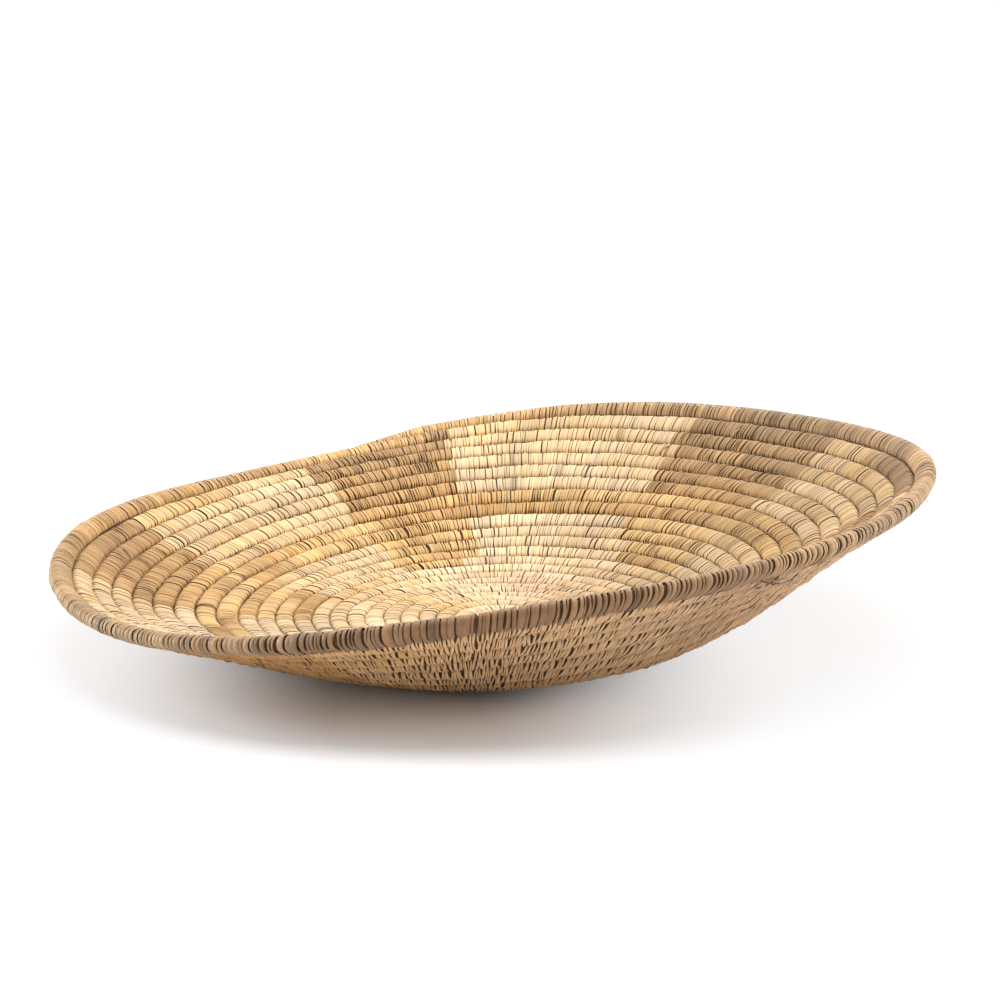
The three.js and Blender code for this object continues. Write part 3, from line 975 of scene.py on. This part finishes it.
    def outside(self, strips: Strips, style: StripStyle, into: Ribbons) -> None:
        """Adds the stitches outside the bowl: thin, leaning, often forked, and biting into the row below.

        Args:
            strips: the strips that the stitches belong to.
            style: how they lie.
            into: the piece they belong to.
        """
        forked = self.rng.random(len(strips)) < style.forked
        strip = np.concatenate([np.arange(len(strips)), np.nonzero(forked)[0]])
        prong = np.concatenate([np.where(forked, -1.0, 0.0), np.ones(int(forked.sum()))])
        laid, course = strips.pick(strip), OUTSIDE_COURSE
        turn, count, run = laid.turn, len(laid), course.run[None, :]
        reach, crest = self.coil.reach(turn)[:, None], self.coil.crest(turn)[:, None]
        start = 1.12 + self.rng.normal(0, 0.07, count)[:, None]
        end = -1.30 + self.rng.normal(0, 0.12, count)[:, None]
        along = start + (end - start) * run
        lift = -crest * (0.84 + 0.14 * np.cos(np.pi * along))
        tilt = -0.14 * np.pi * np.sin(np.pi * along) * crest / reach
        size = np.hypot(tilt, 1.0)
        path = Oval(reach * along, lift, -tilt / size, -1.0 / size)
        lean = around(OUTSIDE_LEANS, self.coil.angle(turn)) + self.rng.normal(0, style.unrest, count)
        fan = prong * self.rng.uniform(0.30, 0.50, count) * laid.pitch
        shift = lean[:, None] * (0.5 - run) + fan[:, None] * (0.25 + 0.75 * run)
        shift += self.bow(course.run, 0.25, count)
        split, whole = self.rng.uniform(0.36, 0.48, count), self.rng.uniform(0.55, 0.80, count)
        widths = (laid.pitch * np.where(prong != 0.0, split, whole))[:, None] * course.width
        raise_by = self.raised(turn, style.relief, 0.12, len(course.run))
        raise_by[:, [0, -1]] -= 1.0
        raise_by[:, 1] -= 0.25
        grid = self.ribbons(turn, path, widths, shift, raise_by, np.full(count, style.crown))
        self.add(into, laid, course, grid, self.colours(strips.turn, True)[strip])

    def knot(self, into: Ribbons) -> None:
        """Adds the strips drawn together over the knot in the middle, inside and outside.

        Args:
            into: the piece they belong to.
        """
        count, run = self.KNOT_STRIPS, np.linspace(0.0, 1.0, 6)
        # Painted shade: the knot's strips darken towards their ends, where they dive under the first row, and
        # at their edges
        shade = np.array([0.7, 0.95, 1.0, 1.0, 0.8, 0.4])
        crest = float(self.coil.crest(0.5))
        angle = np.arange(count) * 360.0 / count + self.rng.normal(0, 2.0, count)
        at = angle[:, None, None] + self.COLUMNS * 1.25 * 360.0 / count
        away = np.broadcast_to((0.1 + self.KNOT_REACH * run)[:, None], (count, len(run), len(self.COLUMNS)))
        edge = np.where(self.EDGES, 0.35, 0.0) * run[:, None]
        tone = shade[:, None] * np.where(self.EDGES, 0.6, 1.0)
        colour = linear(KNOT) * np.exp(self.rng.normal(0, 0.06, (count, 1)))
        for side in (1.0, -1.0):
            lift = side * (crest * (0.92 - 0.30 * run[:, None] ** 2) - edge)
            lift = lift + self.rng.normal(0, 0.08, (count, 1, 1))
            grid = self.coil.wall.point(away, lift, np.broadcast_to(at, away.shape))
            uvs = self.strip_uvs(count, run * 0.1 * self.KNOT_REACH)
            into.add(grid, colour[:, None, None, :] * tone[None, :, :, None], uvs, side > 0)

    def rim(self, strips: Strips, style: StripStyle, into: Ribbons) -> None:
        """Adds the wraps of the rim, from the groove inside, over the edge, into the row below outside.

        On the outside they sweep along the coil as the stitches below them do, and end unevenly.

        Args:
            strips: the wraps.
            style: how they lie.
            into: the piece they belong to.
        """
        course, turn, count = RIM_COURSE, strips.turn, len(strips)
        reach, crest, angle = self.coil.reach(turn), self.coil.crest(turn), self.coil.angle(turn)
        path = Oval.over(course.phi, self.RIM_POWER, reach * self.SNUG, crest * 0.965)
        tail = 1.56 + self.rng.normal(0, 0.2, count).clip(-0.45, 0.35)
        path.across[:, -3:] = -reach[:, None] * np.stack([np.full(count, 0.62), 0.7 * tail, tail], axis=1)
        path.lift[:, -3:] = -crest[:, None] * np.array([0.93, 0.84, 0.72])
        path.out_across[:, -3:], path.out_lift[:, -3:] = 0.0, -1.0
        sweep = np.clip((course.run - 0.45) / 0.55, 0.0, 1.0) ** 1.5
        unrest = 0.8 * self.leans.at(self.coil.arc(turn)) + self.rng.normal(0, style.unrest, count)
        shift = unrest[:, None] * (0.4 - course.run) - 0.75 * around(OUTSIDE_LEANS, angle)[:, None] * sweep
        shift += self.bow(course.run, 0.3, count)
        thinner = self.rng.uniform(0.0, 0.35, count)[:, None] + 0.25 * np.clip(course.run - 0.4, 0.0, 1.0)
        widths = np.maximum(strips.widths(course.run) - thinner, 0.6) * course.width
        even = 0.58 - 0.30 * np.sin(np.radians(angle))
        raise_by = even[:, None] * self.raised(turn, style.relief, 0.06, len(course.run))
        raise_by[:, [0, -1]] -= 0.5
        grid = self.ribbons(turn, path, widths, shift, raise_by, style.crown * even)
        self.add(into, strips, course, grid, self.colours(turn, False))


@dataclass(frozen=True)
class Thread:
    """A strip or fibre that has come loose and lies across the others."""

    row: float  # rows from the rim inwards
    angle: float  # where it starts
    across: tuple[float, float]  # where it starts and ends across its row, in half widths
    # How far it stands off its row at its start, middle and end, in half thicknesses
    lift: tuple[float, float, float]
    ahead: float  # how far it runs along the coil, in millimetres
    width: float  # its width
    colour: int  # its sRGB colour

    def ribbon(self, coil: Coil, steps: int = 10) -> Array:
        """Bends it over the coil.

        Args:
            coil: the coil.
            steps: its points along.

        Returns:
            Points, shaped (1, along, across, 3).
        """
        run = np.linspace(0.0, 1.0, steps)
        turn = coil.sizes.coil_end - self.row - (coil.sizes.end_angle - self.angle) % 360.0 / 360.0
        turns = turn + self.ahead * run / (math.tau * float(coil.radius(turn)))
        across = coil.reach(turns) * np.interp(run, (0, 1), self.across)
        start, middle, end = self.lift
        curve = start * (1 - run) ** 2 + (4 * middle - start - end) * run * (1 - run) + end * run**2
        lift = coil.crest(turns) * curve
        line = coil.place(turns, across, lift)
        out = (coil.place(turns, across, lift + 0.1) - line) * math.copysign(1.0, middle)
        side = np.cross(np.gradient(line, axis=0), out)
        side /= np.linalg.norm(side, axis=1)[:, None]
        out /= np.linalg.norm(out, axis=1)[:, None]
        half = MM / 2 * self.width * np.clip(4.0 * np.minimum(run, 1 - run) + 0.25, 0, 1)[:, None]
        return np.stack([line - side * half, line + out * half * 0.5, line + side * half], axis=1)[None]


TWIGS = (
    Thread(0, 303, (-0.6, -2.8), (-0.9, -1.35, -1.2), 26.0, 1.7, 0x4E3522),
    Thread(0, 305, (-0.9, -2.9), (-0.9, -1.45, -1.1), 21.0, 1.2, 0xA98258),
    Thread(5, 22, (0.7, -1.2), (0.8, 1.2, 0.9), 10.0, 0.9, 0x8A6A46),
    Thread(6, 27, (0.4, -1.4), (0.8, 1.2, 0.9), -9.0, 0.8, 0xB08A5A),
    Thread(2, 168, (0.8, -1.1), (0.7, 1.25, 0.9), 8.0, 1.1, 0x6E5034),
    Thread(5, 205, (0.9, -1.0), (0.8, 1.2, 0.9), 7.0, 1.0, 0x7A5A3A),
    Thread(3, 60, (0.9, -0.9), (0.8, 1.15, 0.9), 5.0, 0.8, 0x94704A),
)
FIBRES = 150
FIBRE_COLOURS = (0xE0C79A, 0xC9A46C, 0x8C6A44)


def fibre(rng: np.random.Generator) -> Thread:
    """A fine fibre that stands up somewhere inside or outside.

    Args:
        rng: the source of its place and shape.

    Returns:
        The fibre.
    """
    face = 1.0 if rng.random() < 0.4 else -1.0
    rise = face * rng.uniform(1.05, 1.25)
    across = (rng.uniform(-0.9, 0.9), rng.uniform(-1.3, 1.1))
    ahead = rng.choice((-1.0, 1.0)) * rng.uniform(2.0, 8.0)
    colour = int(rng.choice(FIBRE_COLOURS))
    lift = (0.75 * face, rise, face * rng.uniform(0.9, 1.4))
    row, angle, width = rng.integers(0, 16), rng.uniform(0, 360), rng.uniform(0.2, 0.5)
    return Thread(row, angle, across, lift, ahead, width, colour)


def loose_threads(coil: Coil, rng: np.random.Generator) -> Ribbons:
    """Gathers the strips and fibres that have come loose.

    Args:
        coil: the coil.
        rng: the source of the small fibres.

    Returns:
        Their ribbons.
    """
    ribbons = Ribbons()
    for thread in (*TWIGS, *[fibre(rng) for _ in range(FIBRES)]):
        grid = thread.ribbon(coil)
        uvs = np.zeros((*grid.shape[:3], 2))
        uvs[..., 0] = rng.integers(0, 4000) + np.array([0.0, 0.5, 1.0])
        uvs[..., 1] = (np.arange(grid.shape[1]) * 0.1)[None, :, None]
        ribbons.add(grid, np.broadcast_to(linear(thread.colour), grid.shape), uvs, False)
    return ribbons


@dataclass(frozen=True)
class Bundle:
    """The grass bundle under the sewing, a lobed coil whose stems twist slowly round it."""

    coil: Coil  # the coil
    start: float = 0.35  # turn where it starts, inside the knot
    sides: int = 20  # points round its section
    power: float = 2.2  # how square the section is, where 2 is an ellipse
    stems: int = 9  # lobes round it
    lobe: float = 0.045  # how far they bulge, as a share of its thickness
    twist: float = 1.5  # degrees that they twist for a turn and a millimetre of radius
    spacing: float = 5.0  # millimetres from one section to the next
    finest: float = 1 / 160  # least turn from one section to the next
    fill: float = 0.1  # how far it reaches past half a row, so that no light comes through between rows
    rim_shift: float = 0.75  # how far it lies inwards in the rim
    rim_inset: float = 0.5  # how much narrower it is there
    sunk: float = 1.3  # how far its crest lies under the sewing's

    def turns(self) -> Array:
        """Places its sections along the coil, closer together where the coil is tight.

        Returns:
            Turns, shaped (section, 1).
        """
        turns = [self.start]
        while turns[-1] < self.coil.tip:
            around_here = math.tau * max(float(self.coil.radius(turns[-1])), 6.0)
            turns.append(min(turns[-1] + max(self.spacing / around_here, self.finest), self.coil.tip))
        return np.array(turns)[:, None]

    def build(self, name: str) -> Object:
        """Makes its object, closed at both ends.

        Args:
            name: the object's name.

        Returns:
            The object.
        """
        coil, turn = self.coil, self.turns()
        phi = np.arange(self.sides) * 360.0 / self.sides
        section = Oval.over(phi, self.power, np.ones(1), np.ones(1))
        turned = phi[None, :] + self.twist * turn * coil.radius(turn)
        stem = 1.0 + self.lobe * np.cos(np.radians(self.stems * turned))
        rim = turn > coil.sizes.rim_start
        half = coil.reach(turn) + np.where(rim, -self.rim_inset, self.fill)
        across = half * section.across * np.minimum(stem, 1.0) - np.where(rim, self.rim_shift, 0.0)
        lift = (coil.crest(turn) - self.sunk) * section.lift * stem
        points = coil.place(np.broadcast_to(turn, across.shape), across, lift).reshape(-1, 3)
        index = np.arange(len(points)).reshape(-1, self.sides)
        following = np.roll(index, -1, axis=1)
        quads = [np.stack([index[:-1], index[1:], following[1:], following[:-1]], axis=-1).reshape(-1, 4)]
        for ring in (index[0], index[-1][::-1]):
            middle = np.full(self.sides // 2, len(points))
            points = np.vstack([points, points[ring].mean(axis=0)])
            quads.append(np.stack([middle, ring[0::2], ring[1::2], np.roll(ring, -2)[0::2]], axis=-1))
        # painted shade: the bundle's dark colour stands in for the shade in the slits
        colours = np.broadcast_to(linear(GRASS_IN_PAINTED_SHADE.colour), (len(points), 3))
        uvs = np.zeros((len(points), 2))
        uvs[: index.size, 0] = np.tile(np.arange(self.sides) / 2.0, len(index))
        uvs[: index.size, 1] = np.repeat(coil.arc(turn[:, 0]) / 10.0, self.sides)
        return Ribbons([points], quads, [colours], [uvs]).build(name)


def feed(tree: NodeTree, made: Node, inputs: dict[str | int, object]) -> None:
    """Gives a node's inputs their values, or the outputs that they take.

    Args:
        tree: the node's tree.
        made: the node.
        inputs: a value or another node's output, by the input's name or number.
    """
    for socket, value in inputs.items():
        if isinstance(value, NodeSocket):
            tree.links.new(value, made.inputs[socket])
        else:
            made.inputs[socket].default_value = value


def node(
    tree: NodeTree, kind: str, inputs: dict[str | int, object] | None = None, **settings: object
) -> Node:
    """Adds a shader node.

    Args:
        tree: the tree that it goes into.
        kind: its type, without the leading ShaderNode.
        inputs: a value or another node's output, by the input's name or number.
        settings: its other settings.

    Returns:
        The node.
    """
    made = tree.nodes.new(f"ShaderNode{kind}")
    for key, value in settings.items():
        setattr(made, key, value)
    feed(tree, made, inputs or {})
    return made


def noise(tree: NodeTree, vector: NodeSocket, **inputs: float) -> NodeSocket:
    """Adds a noise on a vector, with its inputs in small letters, and gives its output."""
    named = {name.title(): value for name, value in inputs.items()}
    return node(tree, "TexNoise", {"Vector": vector, **named}).outputs["Fac"]


def mapped(
    tree: NodeTree,
    value: NodeSocket,
    source: tuple[float, float],
    target: tuple[float, float],
    **settings: object,
) -> NodeSocket:
    """Maps a value from one range to another.

    Args:
        tree: the tree.
        value: the output to map.
        source: the range that it has.
        target: the range that it gets.
        settings: the node's other settings.

    Returns:
        The mapped output.
    """
    ranges = dict(zip(("From Min", "From Max", "To Min", "To Max"), (*source, *target)))
    return node(tree, "MapRange", {"Value": value, **ranges}, **settings).outputs["Result"]


def strip_material(finish: Finish) -> Material:
    """Leaf strip: the strip's point colour, which carries its painted light and shade, fibres along it,
    blotches over the basket, and a soft sheen.

    Args:
        finish: how the strip looks.

    Returns:
        The material.
    """
    material = bpy.data.materials.new(finish.name)
    material.use_nodes = True
    tree = material.node_tree
    tree.nodes.clear()
    uv = node(tree, "UVMap", uv_map="strip_uv").outputs["UV"]
    stretched = node(tree, "Mapping", {"Vector": uv, "Scale": (7.0, 1.1, 1.0)}).outputs["Vector"]
    fibres = noise(tree, stretched, scale=1.0, detail=4.0, roughness=0.6)
    place = node(tree, "TexCoord").outputs["Object"]
    blotches = noise(tree, place, scale=38.0, detail=5.0)
    specks = noise(tree, place, scale=420.0, detail=2.0)

    fibre_tone = mapped(tree, fibres, (0.3, 0.7), (0.74, 1.18))
    blotch_tone = mapped(tree, blotches, (0.3, 0.7), (0.90, 1.08))
    tone = node(tree, "Math", {0: fibre_tone, 1: blotch_tone}, operation="MULTIPLY").outputs["Value"]
    # The point colour holds the strips' colours with their painted light and shade
    own = node(tree, "Attribute", attribute_name="strip_color").outputs["Color"]
    toned = node(tree, "VectorMath", {0: own, "Scale": tone}, operation="SCALE").outputs["Vector"]
    worn = mapped(tree, specks, (0.60, 0.78), (0.0, 1.0))
    wear = node(tree, "Math", {0: worn, 1: 0.35}, operation="MULTIPLY").outputs["Value"]
    mix = {"Factor": wear, "A": toned, "B": (*linear(finish.aged), 1.0)}
    colour = node(tree, "Mix", mix, data_type="RGBA", blend_type="MIX").outputs["Result"]

    rough = mapped(tree, fibres, (0.0, 1.0), (finish.roughness - 0.14, finish.roughness + 0.14))
    bump = node(tree, "Bump", {"Strength": 0.35, "Distance": 0.0002, "Height": fibres})
    shader = node(
        tree,
        "BsdfPrincipled",
        {
            "Base Color": colour,
            "Roughness": rough,
            "Specular IOR Level": 0.35,
            "Sheen Weight": finish.sheen,
            "Normal": bump.outputs["Normal"],
        },
    )
    node(tree, "OutputMaterial", {"Surface": shader.outputs["BSDF"]})
    return material


def floor_material() -> Material:
    """Studio floor: near white, white to the camera far from the basket, and with painted light to the camera
    beside it that fades its cast shadow.

    Returns:
        The material.
    """
    material = bpy.data.materials.new("studio_floor")
    material.use_nodes = True
    tree = material.node_tree
    camera_ray = node(tree, "LightPath").outputs["Is Camera Ray"]
    greys = {"Factor": camera_ray, "A": (0.82, 0.82, 0.82, 1.0), "B": (0.87, 0.87, 0.885, 1.0)}
    grey = node(tree, "Mix", greys, data_type="RGBA").outputs["Result"]
    shader = tree.nodes["Principled BSDF"]
    feed(tree, shader, {"Base Color": grey, "Roughness": 0.9, "Specular IOR Level": 0.1})

    place = node(tree, "TexCoord").outputs["Object"]
    # Painted light: to the camera, the floor round the basket glows white, which fades the cast shadow beside
    # it
    shadow = {"Vector": place, "Location": (0.04, 0.0525, 0.0), "Scale": (1.0, 0.35, 1.0)}
    under = node(tree, "Mapping", shadow).outputs["Vector"]
    pales = []
    for spot, source, most in ((place, (0.55, 1.3), 1.0), (under, (0.03, 0.19), 0.85)):
        away = node(tree, "VectorMath", {0: spot}, operation="LENGTH").outputs["Value"]
        pales.append(mapped(tree, away, source, (0.0, most), interpolation_type="SMOOTHSTEP"))
    pale = node(tree, "Math", dict(enumerate(pales)), operation="MAXIMUM").outputs["Value"]
    seen = node(tree, "Math", {0: pale, 1: camera_ray}, operation="MULTIPLY").outputs["Value"]
    white = node(tree, "Emission", {"Color": WHITE}).outputs["Emission"]
    mixed = node(tree, "MixShader", {"Fac": seen, 1: shader.outputs["BSDF"], 2: white})
    feed(tree, tree.nodes["Material Output"], {"Surface": mixed.outputs["Shader"]})
    return material


@dataclass(frozen=True)
class Shot:
    """The photographed view."""

    elevation: float = 12.31  # how far the camera looks down
    distance: float = 1.485  # from the camera to what it aims at, in metres
    # The point it aims at, in metres in the frame
    aim: tuple[float, float, float] = (0.0034, -0.0038, 0.0647)
    roll: float = -0.38  # how far the picture is turned
    lens: float = 106.35  # focal length, in millimetres
    sensor: float = 36.0  # width of the sensor, in millimetres
    clip: tuple[float, float] = (0.05, 50.0)  # the nearest and farthest that the camera sees, in metres

    def add_camera(self) -> None:
        """Puts the scene's camera where the photograph was taken from."""
        lift, roll = math.radians(self.elevation), math.radians(self.roll)
        forward = Vector((0.0, math.cos(lift), -math.sin(lift)))
        side = Vector((1.0, 0.0, 0.0))
        up = side.cross(forward)
        right = side * math.cos(roll) + up * math.sin(roll)
        top = up * math.cos(roll) - side * math.sin(roll)
        turn = Matrix((right, top, -forward)).transposed().to_4x4()
        bpy.ops.object.camera_add()
        camera = bpy.context.object
        camera.name = "photo_camera"
        camera.data.lens = self.lens
        camera.data.sensor_width = self.sensor
        camera.data.clip_start, camera.data.clip_end = self.clip
        camera.matrix_world = Matrix.Translation(Vector(self.aim) - forward * self.distance) @ turn
        bpy.context.scene.camera = camera


@dataclass(frozen=True)
class SoftBox:
    """A round soft light that faces the basket."""

    name: str  # its name
    place: tuple[float, float, float]  # where it hangs, in metres
    size: float  # how wide it is, in metres
    power: float  # how strong it is, in watts
    warmth: float  # how warm its colour is, from 0 for white to 1
    target: tuple[float, float, float] = (0.0, 0.0, 0.02)  # what it faces, in metres

    def add(self) -> None:
        """Adds it to the scene."""
        bpy.ops.object.light_add(type="AREA", location=self.place)
        lamp = bpy.context.object
        lamp.name = self.name
        lamp.data.shape = "DISK"
        lamp.data.size = self.size
        lamp.data.energy = self.power
        lamp.data.color = (1.0, 1.0 - 0.04 * self.warmth, 1.0 - 0.10 * self.warmth)
        lamp.rotation_euler = (Vector(self.target) - Vector(self.place)).to_track_quat("-Z", "Y").to_euler()


@dataclass(frozen=True)
class Studio:
    """The floor that runs up into a backdrop, soft lights above and beside, and an even surround."""

    front: float = -3.0  # where the floor starts, in metres
    back: float = 1.6  # where it starts to bend up
    bend: float = 1.2  # radius of the bend
    bend_steps: int = 16  # faces round it
    top: float = 4.0  # how high the backdrop goes
    half_width: float = 4.0  # how far it reaches to each side
    surround: float = 0.58  # how bright the surround is, but to the camera, which sees it white
    # The soft lights
    lights: tuple[SoftBox, ...] = (
        SoftBox("soft_box_top", (0.25, 0.4, 1.4), 2.0, 32.0, 0.2),
        SoftBox("soft_box_right", (1.5, 0.2, 0.45), 0.9, 13.0, 0.0),
        SoftBox("soft_box_left", (-1.5, 0.2, 0.45), 0.9, 18.0, 0.0),
    )

    def build(self) -> None:
        """Adds the floor, the lights and the surround."""
        bpy.ops.mesh.primitive_plane_add(size=1.0)
        floor = bpy.context.object
        floor.name = "studio_floor"
        profile = [(self.front, 0.0), (self.back, 0.0)]
        for i in range(1, self.bend_steps + 1):
            angle = math.radians(90 * i / self.bend_steps)
            profile.append((self.back + self.bend * math.sin(angle), self.bend - self.bend * math.cos(angle)))
        profile.append((self.back + self.bend, self.top))
        points = [(x, y, z) for y, z in profile for x in (-self.half_width, self.half_width)]
        faces = [(2 * i, 2 * i + 1, 2 * i + 3, 2 * i + 2) for i in range(len(profile) - 1)]
        floor.data.clear_geometry()
        floor.data.from_pydata(points, [], faces)
        floor.data.shade_smooth()
        floor.data.materials.append(floor_material())
        floor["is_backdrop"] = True
        for light in self.lights:
            light.add()
        world = bpy.data.worlds.new("surround")
        world.use_nodes = True
        tree = world.node_tree
        camera_ray = node(tree, "LightPath").outputs["Is Camera Ray"]
        strength = mapped(tree, camera_ray, (0.0, 1.0), (self.surround, 1.0))
        feed(tree, tree.nodes["Background"], {"Color": WHITE, "Strength": strength})
        bpy.context.scene.world = world
        bpy.context.scene.view_settings.view_transform = "Standard"


class Basket:
    """Builds every piece of the basket and puts it on the frame."""

    KNOT_TURNS = (0.38, 1.6)  # the turns between which the knot's own wraps lie
    KNOT_WIDTH = 0.85  # how wide they are, as a share of the centre's

    def __init__(self, sizes: CoilSizes) -> None:
        """Winds the coil and mixes the materials.

        Args:
            sizes: the basket's sizes.
        """
        self.sizes = sizes
        self.coil = Coil(sizes)
        self.pattern = Pattern(sizes, np.random.default_rng(SEED))
        self.sewing = Sewing(self.coil, self.pattern, np.random.default_rng(SEED + 1))
        self.materials = {kind: strip_material(finish) for kind, finish in FINISHES.items()}
        self.grass = strip_material(GRASS_IN_PAINTED_SHADE)

    def finish(self, thing: Object, material: Material, slot: str, *nodes: str) -> None:
        """Gives a piece its material and its body, and hides the nodes it stands for.

        Args:
            thing: the piece.
            material: its material.
            slot: the record's material slot; not used.
            nodes: the CAD nodes that it replaces.
        """
        thing.data.materials.append(material)
        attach(thing, "root")
        if nodes:
            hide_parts(*nodes)
        log.info("%s: %d faces", thing.name, len(thing.data.polygons))

    def strips(self, name: str, kind: Kind, ribbons: Ribbons, *nodes: str) -> None:
        """Builds one piece of sewing."""
        self.finish(ribbons.build(name), self.materials[kind], FINISHES[kind].slot, *nodes)

    def faces(self, zone: Zone, start: float, end: float) -> Iterator[tuple[Callable, Strips, StripStyle]]:
        """Lays the strips of both faces of the basket.

        Args:
            zone: the zone, which says how they lie.
            start: turn of the first strip.
            end: turn of the last one.

        Yields:
            For the inside and then the outside: what makes its ribbons, its strips and how they lie.
        """
        for maker, styles in ((self.sewing.inside, INSIDE), (self.sewing.outside, OUTSIDE)):
            yield maker, self.sewing.lay(start, end, styles[zone]), styles[zone]

    def build_centre(self) -> None:
        """The knot's wraps and the natural centre."""
        knot = Ribbons()
        for maker, strips, style in self.faces(Zone.CENTRE, *self.KNOT_TURNS):
            strips.pitch *= self.KNOT_WIDTH
            maker(strips, style, knot)
        self.sewing.knot(knot)
        self.strips("knot_wraps", Kind.NATURAL, knot, "start_knot")
        names = ("centre_strips_inside", "centre_strips_outside")
        centre = self.faces(Zone.CENTRE, self.KNOT_TURNS[1], self.sizes.inner_start)
        for name, (maker, strips, style) in zip(names, centre):
            piece = Ribbons()
            maker(strips, style, piece)
            self.strips(name, Kind.NATURAL, piece, "centre_sewing")

    def build_ring(self) -> None:
        """The plain tan ring."""
        piece = Ribbons()
        for maker, strips, style in self.faces(Zone.RING, self.sizes.ring_start, self.sizes.wall_start):
            maker(strips, style, piece)
        self.strips("ring_strips", Kind.TAN, piece, "ring_sewing")

    def build_blocks(self, zone: Zone, start: int, end: int) -> None:
        """The colour blocks of one zone, a piece for each.

        Args:
            zone: the zone.
            start: turn where it starts.
            end: turn where it ends.
        """
        pieces = [Ribbons() for _ in self.sizes.block_starts]
        for maker, strips, style in self.faces(zone, start, end):
            block = np.array([self.pattern.block(turn) for turn in strips.turn])
            for i, piece in enumerate(pieces):
                maker(strips.pick(block == i), style, piece)
        dye = Kind.TAN if zone is Zone.INNER else Kind.BROWN
        for i, piece in enumerate(pieces):
            name = f"{zone.value}_{'natural' if i % 2 else 'dyed'}_block_{i // 2 + 1}"
            self.strips(f"{name}_strips", Kind.NATURAL if i % 2 else dye, piece, name)

    def build_rim(self) -> None:
        """The overcast rim and the wrap on its tapered end."""
        for name, start, end, replaced in (
            ("rim_wraps", self.sizes.rim_start, self.sizes.coil_end, "rim_sewing"),
            ("rim_end_wraps", self.sizes.coil_end, self.coil.tip, "rim_end_sewing"),
        ):
            piece = Ribbons()
            self.sewing.rim(self.sewing.lay(start, end, RIM_STYLE), RIM_STYLE, piece)
            self.strips(name, Kind.RIM, piece, replaced)

    def build(self) -> None:
        """Builds every piece, from the grass bundle to the few strips and fibres that have come loose."""
        bundle = Bundle(self.coil).build("grass_foundation")
        self.finish(bundle, self.grass, GRASS_IN_PAINTED_SHADE.slot, "foundation_coil")
        self.build_centre()
        self.build_blocks(Zone.INNER, self.sizes.inner_start, self.sizes.ring_start)
        self.build_ring()
        self.build_blocks(Zone.WALL, self.sizes.wall_start, self.sizes.rim_start)
        self.build_rim()
        threads = loose_threads(self.coil, np.random.default_rng(SEED + 2))
        self.strips("loose_threads", Kind.NATURAL, threads)


def write_sizes(cad: tuple, visual: tuple) -> None:
    """Puts the two boxes in metres into plain lists, which nothing keeps.

    Args:
        cad: the frame's box.
        visual: the visual model's box.
    """
    named = (("cad", cad), ("visual", visual))
    boxes = {name: [list(map(float, corner)) for corner in box] for name, box in named}


def main() -> None:
    """Loads the frame, builds the basket and the studio, and puts the sizes into lists."""
    logging.basicConfig(level=logging.INFO, format="%(name)s: %(message)s")
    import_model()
    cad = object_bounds()
    Basket(CoilSizes()).build()
    Studio().build()
    Shot().add_camera()
    write_sizes(cad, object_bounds())


if __name__ == "__main__":
    main()
